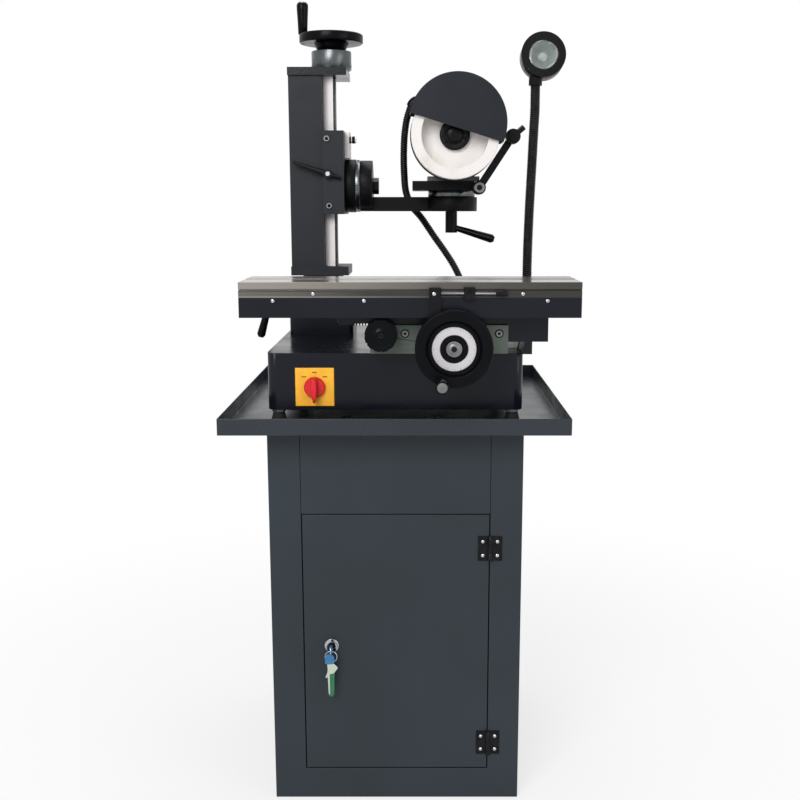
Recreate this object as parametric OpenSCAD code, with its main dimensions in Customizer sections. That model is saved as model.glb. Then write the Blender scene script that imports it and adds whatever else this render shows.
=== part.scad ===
// Tool and cutter grinder on a sheet-metal cabinet, in millimetres.
// X runs along the table, Y from the operator to the back, Z up.
// The origin is the middle of the cabinet's underside.

/* [Cabinet] */
// Width of the cabinet
cabinet_width = 420; // [400:1:440]
// Depth of the cabinet
cabinet_depth = 435; // [425:1:450]
// Height of the cabinet
cabinet_height = 660; // [640:1:700]
// Sheet thickness of the cabinet
cabinet_sheet = 2; // [1.5:0.5:3]
// Width of the front stiles
stile_width = 53; // [48:1:58]
// Height of the rail under the door
kick_height = 55; // [40:1:70]
// Height of the panel above the door
panel_height = 145; // [130:1:160]
// Depth of the door's folded edge
door_fold = 18; // [14:1:20]
// Gap round the door
door_gap = 1.5; // [1:0.5:2]

/* [Drip tray] */
// Width of the tray
tray_width = 557; // [545:1:575]
// Depth of the tray
tray_depth = 567; // [560:1:580]
// Height of the tray's rim
tray_height = 27; // [22:1:32]
// Sheet thickness of the tray
tray_sheet = 1.5; // [1:0.5:2.5]

/* [Base box] */
// Width of the base box
base_width = 414; // [400:1:420]
// Depth of the base box
base_depth = 407; // [400:1:415]
// Height of the base box
base_height = 93; // [88:1:98]
// Wall of the base box
base_wall = 8; // [6:1:10]
// Radius of the base box's corners
base_corner = 14; // [8:1:18]
// Height of the rubber feet
foot_height = 27; // [24:1:32]
// Side of the square switch plate
switch_plate_side = 63; // [58:1:66]

/* [Column] */
// Width of the column post along X
post_width = 60; // [56:1:64]
// Depth of the column post along Y
post_depth = 100; // [94:1:104]
// Height of the column post above its foot
post_height = 337; // [325:1:350]
// Wall of the column post
post_wall = 6; // [4:1:8]
// Thickness of the dovetail way
way_thick = 19; // [18:0.5:20]
// Radius of the lift screw
lift_screw_r = 8; // [7:0.5:8]
// Diameter of the lift handwheel
lift_wheel_d = 115; // [105:1:122]
// Diameter of the lift dial
lift_dial_d = 72; // [60:1:76]

/* [Carriage and arm] */
// Height of the carriage
carriage_height = 147; // [135:1:150]
// Outward depth of the carriage along X
carriage_depth = 38; // [36:1:40]
// Diameter of the tilt plate
tilt_plate_d = 96; // [90:1:98]
// Thickness of the arm's bar
arm_thick = 26; // [24:1:28]
// Diameter of the arm's outer end
arm_end_d = 95; // [88:1:98]
// Height of the graduated swivel collar
collar_height = 11; // [9:1:13]

/* [Wheel head] */
// Diameter of the cup wheel
wheel_d = 150; // [140:1:152]
// Depth of the cup wheel
wheel_depth = 45; // [40:1:48]
// Width of the cup wheel's rim
wheel_rim = 18; // [14:1:22]
// Diameter of the motor body
motor_d = 120; // [110:1:122]
// Length of the motor body
motor_length = 150; // [140:1:160]
// Radius of the wheel guard
guard_r = 83; // [82:1:84]
// Sheet thickness of the guard
guard_sheet = 2; // [1.5:0.5:2.5]

/* [Table] */
// Length of the table
table_length = 528; // [510:1:540]
// Depth of the table
table_depth = 141; // [136:1:144]
// Height of the ground steel table top
table_top_height = 24; // [22:1:26]
// Height of the table bed
table_bed_height = 31; // [29:1:33]
// Neck width of the T-slot
slot_neck = 12; // [10:1:14]
// Head width of the T-slot
slot_head = 21; // [19:1:24]
// Number of teeth on the traverse pinion
pinion_teeth = 16; // [15:1:17]
// Module of the rack and pinion
tooth_module = 1.5; // [1.4:0.05:1.5]

/* [Saddle and feed] */
// Length of the saddle along X
saddle_length = 282; // [275:1:290]
// Height of the saddle
saddle_height = 43; // [42:1:45]
// Diameter of the feed handwheel
feed_wheel_d = 120; // [112:1:124]
// Diameter of the traverse knob
traverse_knob_d = 51; // [46:1:52]
// Radius of the feed screw
feed_screw_r = 7; // [6:0.5:7]

/* [Lamp] */
// Diameter of the lamp head
lamp_head_d = 73; // [68:1:78]
// Diameter of the lamp lens
lens_d = 48; // [44:1:52]
// Diameter of the gooseneck over its ribs
neck_d = 16.5; // [14:0.5:17]
// Diameter of the conduit over its ribs
conduit_d = 13.5; // [12:0.5:14]

/* [Hidden] */
$fn = 64;

// Overrun of a cut past a face
over = 1;
// Clearance between sliding or turning faces
slide_gap = 0.3;
// Radial clearance of a shaft in its bore
shaft_gap = 0.05;

// Cabinet
cabinet_front = -cabinet_depth / 2;
opening_half = cabinet_width / 2 - stile_width;
panel_top = cabinet_height - cabinet_sheet;
door_top = panel_top - panel_height;
door_opening_height = door_top - kick_height;
panel_gap = 0.5;
anchor_r = 6;
anchor_inset = 40;
anchor_x = cabinet_width / 2 - anchor_inset;
anchor_y = cabinet_depth / 2 - anchor_inset;

// Hinges
hinge_height = 42;
hinge_leaf_width = 20;
hinge_leaf = 2;
knuckle_r = 4;
hinge_pin_r = 2;
middle_share = 0.5;
knuckle_share = 1 / 3;
hinge_inset_share = 0.13;
hinge_x = opening_half;
hinge_y = cabinet_front - knuckle_r;
hinge_zs = [
    kick_height + door_opening_height * (1 - hinge_inset_share),
    kick_height + door_opening_height * hinge_inset_share - hinge_height / 4
];

// Lock and keys
lock_inset = 48;
lock_drop = 231;
lock_x = -opening_half + lock_inset;
lock_z = door_top - lock_drop;
lock_bezel_r = 12;
lock_bezel = 3;
lock_barrel_r = 9;
lock_plug_r = 6;
lock_face = cabinet_front - lock_bezel;
cam_length = 52;
cam_width = 12;
cam_thick = 2;
cam_y = cabinet_front + door_fold + slide_gap;
key_thick = 2;
key_bow_r = 8;
key_neck = 10;
key_hole_r = 3;
key_bow_y = lock_face - key_neck - key_bow_r;
ring_r = 10;
ring_wire_r = 0.9;
ring_z = lock_z - key_hole_r + ring_wire_r + slide_gap - ring_r;
tag_width = 14;
tag_height = 52;
spare_key_width = 9;
spare_key_height = 40;

// Tray and base
tray_z = cabinet_height;
tray_floor = tray_z + tray_sheet;
base_z = tray_z + tray_sheet + foot_height;
base_top = base_z + base_height;
base_front = -217;
base_mid_y = base_front + base_depth / 2;
base_hatch_share = 0.5;
foot_inset = 16;
foot_r = 15;
foot_top_r = 8;

// Switch
switch_inset = 77;
switch_rise = 38;
switch_x = -base_width / 2 + switch_inset;
switch_z = base_z + switch_rise;
switch_plate_thick = 3;
switch_knob_r = 17;
switch_disc = 7;
switch_grip_height = 14;
switch_grip_width = 9;
switch_shaft_r = 3;
switch_shaft_length = 20;

// Column
column_y = 92;
post_right = -134;
post_x = post_right - post_width / 2;
pedestal_x = -141;
pedestal_width = 117;
pedestal_depth = 112;
pedestal_height = 86;
neck_r = 38;
neck_height = 22;
flange_height = 16;
flange_overhang = 1;
flange_width = 105;
flange_left = post_right - post_width - flange_overhang;
flange_right = flange_left + flange_width;
flange_depth = 110;
flange_z = base_top + pedestal_height + neck_height;
post_z = flange_z + flange_height;
post_top = post_z + post_height;
cap_height = 14;
cap_top = post_top + cap_height;
way_root_half = 27;
way_half = 37;
way_face = post_right + way_thick;
lift_offset = 14;
lift_x = post_right + lift_offset;
groove_gap = 3;
groove_r = lift_screw_r + groove_gap;
screw_socket = 10;

// Column clamp lever on the pedestal's left side
pedestal_left = pedestal_x - pedestal_width / 2;
lever_hub_r = 11;
lever_hub_length = 50;
lever_arm_length = 74;
lever_arm_r = 5;
lever_tip_r = 8;
lever_stud_r = 5;
lever_tip_share = 0.6;
lever_crown = 5;
lever_rise = 62;
column_lever_z = base_top + lever_rise;
column_lever_y = 70;

// Lift handwheel
lift_dial_height = 32;
lift_dial_z = cap_top + slide_gap;
lift_wheel_z = lift_dial_z + lift_dial_height;
lift_wheel_height = 30;
wheel_rim_height = 16;
wheel_edge = 2;
wheel_dish = 7;
wheel_dish_share = 0.74;
wheel_floor_share = 0.66;
wheel_cone_share = 0.56;
wheel_hub_share = 0.42;
handle_r = 10.5;
handle_length = 56;
handle_crown = 4;
handle_base_share = 0.8;
handle_inset = 6.5;
handle_pin_r = 4;
handle_pin_depth = 8;
lift_handle_r = lift_wheel_d / 2 - handle_inset;
lift_handle_z = lift_wheel_z + lift_wheel_height;

// Carriage
carriage_rise = 94.5;
carriage_z = post_z + carriage_rise;
carriage_top = carriage_z + carriage_height;
carriage_depth_y = 120;
carriage_back = post_right + slide_gap;
carriage_face = post_right + carriage_depth;
carriage_front = column_y - carriage_depth_y / 2;
slide_lever_rise = 71;
slide_lever_inset = 28;
slide_lever_z = carriage_z + slide_lever_rise;
slide_lever_x = carriage_face - slide_lever_inset;
slide_lever_length = 66;
slide_lever_tail = 24;
slide_lever_hub = 12;
slide_lever_turn = 198;
index_width = 8;
index_gap = 1;
index_depth = 60;
index_knob_r = 6;
index_knob_length = 12;

// Tilt joint and arm
tilt_rise = 51;
tilt_z = carriage_z + tilt_rise;
tilt_plate_length = 19;
tilt_ring_length = 8;
tilt_ring_step = 1;
hub_length = 22;
hub_d = 92;
tilt_stud_r = 8;
tilt_nut_r = 15;
tilt_nut_length = 11;
ring_x = carriage_face + tilt_plate_length;
hub_x = ring_x + tilt_ring_length + slide_gap;
hub_end = hub_x + hub_length;
arm_x = 99;
arm_z = tilt_z - hub_d / 2;
arm_depth = 34;
collar_z = arm_z + arm_thick;
collar_r = 43;
head_stud_r = 8;

// Head clamp lever under the arm
head_hub_height = 39;
head_lever_length = 84;
head_lever_droop = 16;
head_lever_turn = -12;

// Head plate and motor
head_z = collar_z + collar_height + slide_gap;
head_plate_thick = 16;
head_plate_left = 72;
head_plate_right = 38;
head_plate_front = 5;
head_plate_back = 160;
motor_x = 100;
motor_rise = 76;
wheel_z = head_z + head_plate_thick + motor_rise;
motor_y = 0;
motor_foot_width = 92;
motor_foot_length = 110;
fan_cover_length = 22;
bell_length = 12;
bell_r = 50;
bell_nose_r = 30;
bell_nose = 5;
spindle_r = 10;
spindle_inside = 100;
terminal_width = 34;
terminal_height = 46;
terminal_depth = 66;
terminal_x = 44;
terminal_rise = 34;
terminal_z = wheel_z + terminal_rise;
terminal_y = 44;

// Wheel, flange and guard
wheel_front = -72;
wheel_back = wheel_front + wheel_depth;
wheel_web_thick = 14;
flange_r = 26;
flange_thick = 8;
nut_r = 13;
nut_length = 9;
guard_shift = 4;
guard_offset = 17.5;
guard_front = -80;
guard_back = -bell_length - slide_gap;
guard_plate_r = 77;
guard_tilt = 17;
guard_drop = 8;

// Tooth rest
rest_x = 145;
rest_boss_r = 12;
rest_z = head_z + head_plate_thick - rest_boss_r;
rest_top_x = 202;
rest_height = 87;
rest_top_z = rest_z + rest_height;
rest_bolt_r = 6;
rest_head_r = 10;
rest_head = 8;
rest_bar = 9;
rest_bar_width = 13;
rest_bar_front = head_plate_front - slide_gap - rest_bar;
rest_pin_r = 5;
clamp_length = 17;
clamp_r = 13;
clamp_knob_r = 5;
clamp_knob_length = 12;
clamp_knob_turn = 50;

// Table
table_x = 25;
table_front = -280;
table_left = table_x - table_length / 2;
way_height = 20;
bed_z = base_top + way_height + saddle_height + slide_gap;
top_z = bed_z + table_bed_height;
table_top_z = top_z + table_top_height;
slot_depth = 17;
slot_head_height = 8;
groove_depth = 3;
groove_height = 2;
dovetail_height = 10;
dovetail_root = 10;
dovetail_half = 14;
dovetail_y = -168;

// Saddle and cross ways
way_top = base_top + way_height;
cross_way_front = -160;
cross_way_length = 335;
cross_half = 17;
cross_root = 12;
saddle_x = 103;
saddle_left = saddle_x - saddle_length / 2;
saddle_right = saddle_left + saddle_length;
way_left_inset = 36;
way_right_inset = 54;
cross_way_xs = [saddle_left + way_left_inset, saddle_right - way_right_inset];
saddle_front = -232;
saddle_depth = 154;
saddle_z = way_top + slide_gap;
saddle_top = saddle_z + saddle_height - slide_gap;
rack_slot_y = -224;
rack_slot_width = 30;
channel_width = 40;
channel_height = 16;

// Apron
apron_overhang = 1;
apron_short = 63;
apron_gap = 2;
apron_left = saddle_left - apron_overhang;
apron_width = saddle_length - apron_short;
apron_bottom = base_top + apron_gap;
apron_height = 46;
apron_thick = 8;
apron_front = saddle_front - apron_thick;

// Feed screw and handwheel
feed_offset = 11;
feed_rise = 18.5;
feed_x = saddle_x - feed_offset;
feed_z = base_top + feed_rise;
feed_wheel_back = -294;
feed_wheel_depth = 18;
feed_wheel_front = feed_wheel_back - feed_wheel_depth;
feed_screw_end = 40;
feed_end_set = 4;
feed_hub_r = 13;
feed_handle_turn = 69;
feed_handle_r = feed_wheel_d / 2 - handle_inset;
nut_width = 30;
nut_depth = 34;
nut_y = -20;
nut_rise = 11;
nut_top = feed_z + nut_rise;

// Traverse knob, pinion and rack
traverse_inset = 17;
traverse_x = saddle_left + traverse_inset;
pinion_r = tooth_module * pinion_teeth / 2;
rack_drop = 17;
traverse_z = bed_z - rack_drop - pinion_r;
pinion_length = 14;
pinion_inset = 4;
pinion_y = rack_slot_y + pinion_inset;
traverse_shaft_r = 6;
pivot_depth = 6;
traverse_knob_length = 30;
knob_flute = 3;
knob_flutes = 12;
backlash = 0.2;
pressure_angle = 20;
root_share = 1.25;
rack_teeth = 30;
pitch = PI * tooth_module;

// Table stop
stop_offset = 49;
stop_post_x = saddle_x - stop_offset;
stop_post_width = 18;
stop_gap = 2;
stop_back = table_front - stop_gap;
stop_thick = 9;
stop_rod_r = 3;
stop_rod_y = stop_back - stop_thick / 2;
stop_rod_rise = 7;
stop_rod_z = top_z + stop_rod_rise;
stop_rod_end = 174;
stop_collar_x = 156;
stop_collar_r = 4.4;
stop_dog_x = 107;
stop_dog_width = 17;
stop_dog_height = 20;
stop_drop = 8;
stop_top = table_top_z - stop_drop;

// Lamp
lamp_foot_r = 14;
lamp_foot_height = 14;
neck_bore_r = 5;
neck_inset = 21;
neck_back = 140;
neck_x = saddle_right - neck_inset;
neck_y = saddle_front + neck_back;
lamp_offset = 19;
lamp_forward = 16;
lamp_rise = 413.5;
lamp_x = neck_x + lamp_offset;
lamp_y = neck_y - lamp_forward;
lamp_z = saddle_top + lamp_rise;
lamp_length = 62;
lamp_wall = 3;
lamp_rear_r = 24;
lens_set = 6;
lens_thick = 4;
lamp_tilt = 7;
lamp_back = 10;
lamp_socket_r = 11;
lamp_socket = 16;

// Ribbed tubes
tube_sides = 8;
rib_rise = 1.1;
conduit_bore_r = 4;
ribs_per_step = 7;
neck_ribs_per_step = 9;
bore_step = 4;

// Middle line of the conduit, from the terminal box to the base: X, Y and share of the drop
conduit_exit_rise = 35;
conduit_exit_z = terminal_z + conduit_exit_rise;
conduit_shares = [
    [terminal_x, 77, 1], [38, 77, 1], [32, 77, 1], [22.5, 78.5, 0.976], [16.5, 82, 0.925], [12, 86, 0.84],
    [10.5, 92, 0.763], [11.5, 106, 0.685], [14.5, 121, 0.613], [26, 135, 0.55], [44, 143, 0.499],
    [67, 147, 0.42], [88.5, 149, 0.349], [107, 150, 0.281], [122, 150, 0.205], [132, 150, 0.127],
    [136, 150, 0.072], [136, 150, 0.036], [136, 150, 0]
];
conduit_route = [for (p = conduit_shares) [p[0], p[1], base_top + p[2] * (conduit_exit_z - base_top)]];

// Middle line of the gooseneck, from the foot to the lamp head: sideways and upward offsets
neck_offsets = [
    [0, lamp_foot_height], [0, 31.5], [0, 72], [0.5, 112], [1.5, 152], [3, 195], [4.8, 240], [6.4, 285],
    [8, 325], [8, 345], [8, 365.5]
];
neck_route = [for (p = neck_offsets) [neck_x + p[0], neck_y, saddle_top + p[1]]];

// Plane and solid helpers

// A cylinder along +Y from y
module rod_y(x, y, z, r, length) {
    translate([x, y, z])
        rotate([-90, 0, 0])
            cylinder(r = r, h = length);
}

// A cylinder along +X from x
module rod_x(x, y, z, r, length) {
    translate([x, y, z])
        rotate([0, 90, 0])
            cylinder(r = r, h = length);
}

module round_square(width, depth, r) {
    square([width - 2 * r, depth], center = true);
    square([width, depth - 2 * r], center = true);
    for (sx = [-1, 1], sy = [-1, 1])
        translate([sx * (width / 2 - r), sy * (depth / 2 - r)])
            circle(r = r);
}

// A box from its low corner to its high corner
module span(low, high) {
    translate(low)
        cube(high - low);
}

// A tapered lever grip along +Z with a bevelled end
module lever_grip(length) {
    cylinder(r1 = lever_arm_r, r2 = lever_tip_r, h = length - lever_crown);
    translate([0, 0, length - lever_crown])
        cylinder(r1 = lever_tip_r, r2 = lever_tip_r * lever_tip_share, h = lever_crown);
}

// A drooping lever arm along +X from its hub
module lever_arm(length, droop) {
    rotate([0, 90 + droop, 0])
        lever_grip(length);
}

// A dished handwheel with a flat rim on a tapered hub, turned about its axis
module dished_wheel(d, depth, bore_r) {
    r = d / 2;
    rim_low = depth - wheel_rim_height;
    difference() {
        rotate_extrude()
            polygon([
                [0, 0], [r * wheel_hub_share, 0], [r * wheel_cone_share, rim_low],
                [r - wheel_edge, rim_low], [r, rim_low + wheel_edge], [r, depth - wheel_edge],
                [r - wheel_edge, depth], [r * wheel_dish_share, depth],
                [r * wheel_floor_share, depth - wheel_dish], [0, depth - wheel_dish]
            ]);
        translate([0, 0, -over])
            cylinder(r = bore_r, h = depth + 2 * over);
    }
}

// Point on a smooth curve through the route's points
function smooth(a, b, c, d, t) =
    0.5 * (2 * b + (c - a) * t + (2 * a - 5 * b + 4 * c - d) * t * t
        + (3 * b - a - 3 * c + d) * t * t * t);
function route_point(route, i, t) = smooth(
    i == 0 ? 2 * route[0] - route[1] : route[i - 1], route[i], route[i + 1],
    i + 2 < len(route) ? route[i + 2] : 2 * route[i + 1] - route[i], t);
function sampled(route, steps) = concat(
    [for (i = [0 : len(route) - 2], s = [0 : steps - 1]) route_point(route, i, s / steps)],
    [route[len(route) - 1]]);
function unit(v) = v / norm(v);
function along(line, i) = unit(line[min(i + 1, len(line) - 1)] - line[max(i - 1, 0)]);
function tube_ring(line, i, r) =
    let (t = along(line, i), u = unit(cross(t, [0, 1, 0])), v = cross(t, u))
    [for (k = [0 : tube_sides - 1])
        line[i] + r * (u * cos(360 * k / tube_sides) + v * sin(360 * k / tube_sides))];
function flat(lists) = [for (list = lists, item = list) item];
function skin(first, rings, turned) = flat([
    for (i = [0 : rings - 2], k = [0 : tube_sides - 1])
        let (n = (k + 1) % tube_sides, a = first + i * tube_sides, b = a + tube_sides)
        turned ? [[a + k, b + n, a + n], [a + k, b + k, b + n]]
            : [[a + k, a + n, b + n], [a + k, b + n, b + k]]
]);
function end_ring(a, b, turned) = flat([
    for (k = [0 : tube_sides - 1])
        let (n = (k + 1) % tube_sides)
        turned ? [[a + k, b + n, a + n], [a + k, b + k, b + n]]
            : [[a + k, a + n, b + n], [a + k, b + n, b + k]]
]);

// A ribbed tube with a smooth bore; its end runs are plain
module ribbed_tube(route, steps, d, bore_r) {
    line = sampled(route, 2 * steps);
    last = len(line) - 1;
    plain = 2 * steps;
    inner = [for (i = [0 : bore_step : last]) i];
    outer_points = flat([for (i = [0 : last])
        tube_ring(line, i, d / 2 - (i % 2 == 1 || i < plain / 2 || i > last - plain / 2 ? rib_rise : 0))]);
    inner_points = flat([for (i = inner) tube_ring(line, i, bore_r)]);
    start = len(outer_points);
    inner_end = start + (len(inner) - 1) * tube_sides;
    polyhedron(
        concat(outer_points, inner_points),
        concat(
            skin(0, last + 1, false),
            skin(start, len(inner), true),
            end_ring(0, start, true),
            end_ring(last * tube_sides, inner_end, false)));
}

// Least distance between far points of a tube's middle line, less its diameter
function self_gap(line, d, apart) = min([
    for (i = [0 : 3 : len(line) - 1], j = [i + apart : 3 : len(line) - 1]) norm(line[i] - line[j])
]) - d;

// Flank point of an involute tooth at radius r, as a half angle
function involute(base_r, r) = let (a = acos(base_r / r)) tan(a) * 180 / PI - a;
function tooth_half(r, base_r) =
    90 / pinion_teeth - backlash / 2 / pinion_r * 180 / PI
    + involute(base_r, pinion_r) - involute(base_r, max(r, base_r));
flank_shares = [0, 0.2, 0.4, 0.6, 0.8, 1];
module pinion_outline() {
    base_r = pinion_r * cos(pressure_angle);
    root_r = pinion_r - root_share * tooth_module;
    tip_r = pinion_r + tooth_module;
    low_r = max(base_r, root_r);
    flank = [for (s = flank_shares) low_r + s * (tip_r - low_r)];
    polygon(flat([
        for (n = [0 : pinion_teeth - 1])
            let (mid = 90 + 360 * n / pinion_teeth)
            concat(
                [let (a = mid - tooth_half(low_r, base_r)) root_r * [cos(a), sin(a)]],
                [for (r = flank) let (a = mid - tooth_half(r, base_r)) r * [cos(a), sin(a)]],
                [for (i = [len(flank) - 1 : -1 : 0])
                    let (r = flank[i], a = mid + tooth_half(r, base_r)) r * [cos(a), sin(a)]],
                [let (a = mid + tooth_half(low_r, base_r)) root_r * [cos(a), sin(a)]])
    ]));
}

// Stand

module cabinet_shell() {
    color([0.22, 0.25, 0.29])
        difference() {
            union() {
                difference() {
                    span([-cabinet_width / 2, cabinet_front, 0],
                        [cabinet_width / 2, -cabinet_front, cabinet_height]);
                    span([-cabinet_width / 2 + cabinet_sheet, cabinet_front + cabinet_sheet, cabinet_sheet],
                        [cabinet_width / 2 - cabinet_sheet, -cabinet_front - cabinet_sheet, panel_top]);
                }
                for (side = [-1, 1])
                    translate([side * (opening_half + cabinet_sheet / 2), cabinet_front + door_fold / 2,
                        (kick_height + panel_top) / 2])
                        cube([cabinet_sheet, door_fold, panel_top - kick_height], center = true);
            }
            span([-opening_half, cabinet_front - over, kick_height],
                [opening_half, cabinet_front + cabinet_sheet + over, panel_top]);
            for (sx = [-1, 1], sy = [-1, 1])
                translate([sx * anchor_x, sy * anchor_y, -over])
                    cylinder(r = anchor_r, h = cabinet_sheet + 2 * over);
        }
}

module front_panel() {
    color([0.22, 0.25, 0.29])
        difference() {
            span([-opening_half + panel_gap, cabinet_front, door_top],
                [opening_half - panel_gap, cabinet_front + door_fold, panel_top]);
            span([-opening_half + panel_gap + cabinet_sheet, cabinet_front + cabinet_sheet,
                    door_top + cabinet_sheet],
                [opening_half - panel_gap - cabinet_sheet, cabinet_front + door_fold + over,
                    panel_top - cabinet_sheet]);
        }
}

module cabinet_door() {
    low = [-opening_half + door_gap, cabinet_front, kick_height + door_gap];
    high = [opening_half - door_gap, cabinet_front + door_fold, door_top - door_gap];
    wall = [cabinet_sheet, 0, cabinet_sheet];
    color([0.23, 0.26, 0.3])
        difference() {
            span(low, high);
            span(low + wall + [0, cabinet_sheet, 0], high - wall + [0, over, 0]);
            rod_y(lock_x, cabinet_front - over, lock_z, lock_barrel_r + shaft_gap, door_fold);
        }
}

// Hinge knuckles from a share to a share of the hinge's height
module knuckle(z, low_share, high_share) {
    translate([hinge_x, hinge_y, z + hinge_height * (low_share - middle_share)])
        cylinder(r = knuckle_r, h = hinge_height * (high_share - low_share));
}

module hinge_leaf_plate(z, side, low_share, high_share) {
    translate([hinge_x + (side > 0 ? 0 : -hinge_leaf_width), cabinet_front - hinge_leaf,
        z + hinge_height * (low_share - middle_share)])
        cube([hinge_leaf_width, hinge_leaf, hinge_height * (high_share - low_share)]);
}

module hinge_clear(z, low_share, high_share) {
    translate([hinge_x, hinge_y, z + hinge_height * (low_share - middle_share) - slide_gap])
        cylinder(r = knuckle_r + slide_gap, h = hinge_height * (high_share - low_share) + 2 * slide_gap);
}

module hinge_bores() {
    for (z = hinge_zs)
        translate([hinge_x, hinge_y, z - hinge_height / 2 - over])
            cylinder(r = hinge_pin_r + shaft_gap, h = hinge_height + 2 * over);
}

module frame_hinges() {
    color([0.06, 0.06, 0.06])
        difference() {
            for (z = hinge_zs) {
                difference() {
                    hinge_leaf_plate(z, 1, 0, 1);
                    hinge_clear(z, knuckle_share, 1 - knuckle_share);
                }
                knuckle(z, 0, knuckle_share);
                knuckle(z, 1 - knuckle_share, 1);
            }
            hinge_bores();
        }
}

module door_hinges() {
    color([0.06, 0.06, 0.06])
        difference() {
            for (z = hinge_zs) {
                difference() {
                    hinge_leaf_plate(z, -1, 0, 1);
                    hinge_clear(z, -1, knuckle_share);
                    hinge_clear(z, 1 - knuckle_share, 2);
                }
                translate([0, 0, slide_gap])
                    knuckle(z, knuckle_share, 1 - knuckle_share - 2 * slide_gap / hinge_height);
            }
            hinge_bores();
        }
}

module hinge_pins() {
    color([0.5, 0.5, 0.5])
        for (z = hinge_zs)
            translate([hinge_x, hinge_y, z - hinge_height / 2])
                cylinder(r = hinge_pin_r, h = hinge_height);
}

module lock_body() {
    color([0.8, 0.8, 0.82])
        difference() {
            union() {
                rod_y(lock_x, lock_face, lock_z, lock_bezel_r, lock_bezel);
                rod_y(lock_x, cabinet_front, lock_z, lock_barrel_r, door_fold);
            }
            rod_y(lock_x, lock_face - over, lock_z, lock_plug_r + shaft_gap,
                lock_bezel + door_fold + 2 * over);
        }
}

module lock_plug() {
    color([0.7, 0.7, 0.72]) {
        difference() {
            rod_y(lock_x, lock_face, lock_z, lock_plug_r, cam_y + cam_thick - lock_face);
            translate([lock_x - key_thick / 2, lock_face - over, lock_z - lock_plug_r / 2])
                cube([key_thick, door_fold / 2 + over, lock_plug_r]);
        }
        translate([lock_x - cam_width / 2, cam_y, lock_z - cam_length])
            cube([cam_width, cam_thick, cam_length]);
    }
}

module door_key() {
    color([0.25, 0.4, 0.7])
        difference() {
            union() {
                translate([lock_x - key_thick / 2 + shaft_gap, lock_face - key_neck - key_hole_r,
                    lock_z - lock_plug_r / 2])
                    cube([key_thick - 2 * shaft_gap, key_neck + key_hole_r + door_fold / 2, lock_plug_r]);
                rod_x(lock_x - key_thick / 2 + shaft_gap, key_bow_y, lock_z, key_bow_r,
                    key_thick - 2 * shaft_gap);
            }
            rod_x(lock_x - key_thick, key_bow_y, lock_z, key_hole_r, 2 * key_thick);
        }
}

module key_bunch() {
    low = ring_z - ring_r;
    color([0.25, 0.6, 0.4]) {
        translate([lock_x, key_bow_y, ring_z])
            rotate([90, 0, 0])
                rotate_extrude()
                    translate([ring_r, 0])
                        circle(r = ring_wire_r);
        translate([lock_x - tag_width / 2, key_bow_y - ring_wire_r, low - tag_height])
            cube([tag_width, key_thick, tag_height]);
        translate([lock_x - tag_width / 2 - spare_key_width / 2, key_bow_y - ring_wire_r - key_thick / 2,
            low - spare_key_height])
            cube([spare_key_width, key_thick, spare_key_height]);
    }
}

module drip_tray() {
    low = [-tray_width / 2, -tray_depth / 2, tray_z];
    high = [tray_width / 2, tray_depth / 2, tray_z + tray_height];
    wall = [tray_sheet, tray_sheet, 0];
    color([0.22, 0.25, 0.28])
        difference() {
            span(low, high);
            span(low + wall + [0, 0, tray_sheet], high - wall + [0, 0, over]);
        }
}

// Base

module base_box() {
    color([0.06, 0.06, 0.065])
        difference() {
            translate([0, base_mid_y, base_z])
                linear_extrude(base_height)
                    round_square(base_width, base_depth, base_corner);
            translate([0, base_mid_y, base_z + base_wall])
                linear_extrude(base_height - 2 * base_wall)
                    round_square(base_width - 2 * base_wall, base_depth - 2 * base_wall,
                        base_corner - base_wall / 2);
            translate([-base_width * base_hatch_share / 2, base_mid_y - base_depth * base_hatch_share / 2,
                base_z - over])
                cube([base_width * base_hatch_share, base_depth * base_hatch_share, base_wall + 2 * over]);
            rod_y(switch_x, base_front - over, switch_z, switch_shaft_r + shaft_gap, base_wall + 2 * over);
        }
}

module base_feet() {
    color([0.04, 0.04, 0.04])
        for (sx = [-1, 1], sy = [-1, 1])
            translate([sx * (base_width / 2 - foot_inset), base_mid_y + sy * (base_depth / 2 - foot_inset),
                tray_floor])
                cylinder(r1 = foot_r, r2 = foot_top_r, h = foot_height);
}

module switch_plate() {
    color([0.9, 0.65, 0.1])
        difference() {
            translate([switch_x - switch_plate_side / 2, base_front - switch_plate_thick,
                switch_z - switch_plate_side / 2])
                cube([switch_plate_side, switch_plate_thick, switch_plate_side]);
            rod_y(switch_x, base_front - switch_plate_thick - over, switch_z, switch_shaft_r + shaft_gap,
                switch_plate_thick + 2 * over);
        }
}

module switch_knob() {
    face = base_front - switch_plate_thick - slide_gap;
    color([0.8, 0.1, 0.1]) {
        rod_y(switch_x, face - switch_disc, switch_z, switch_knob_r, switch_disc);
        rod_y(switch_x, face - over, switch_z, switch_shaft_r, switch_shaft_length + over);
        translate([switch_x - switch_grip_width / 2, face - switch_disc - switch_grip_height,
            switch_z - switch_knob_r])
            cube([switch_grip_width, switch_grip_height, 2 * switch_knob_r]);
    }
}

module cross_ways() {
    color([0.5, 0.5, 0.52])
        for (x = cross_way_xs)
            translate([x, cross_way_front, base_top])
                rotate([-90, 0, 0])
                    mirror([0, 1, 0])
                        linear_extrude(cross_way_length)
                            polygon([
                                [-cross_root, 0], [cross_root, 0], [cross_half, way_height],
                                [-cross_half, way_height]
                            ]);
}

module feed_nut() {
    color([0.7, 0.55, 0.25])
        difference() {
            span([feed_x - nut_width / 2, nut_y, base_top],
                [feed_x + nut_width / 2, nut_y + nut_depth, nut_top]);
            rod_y(feed_x, nut_y - over, feed_z, feed_screw_r + shaft_gap, nut_depth + 2 * over);
        }
}

// Column

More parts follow.
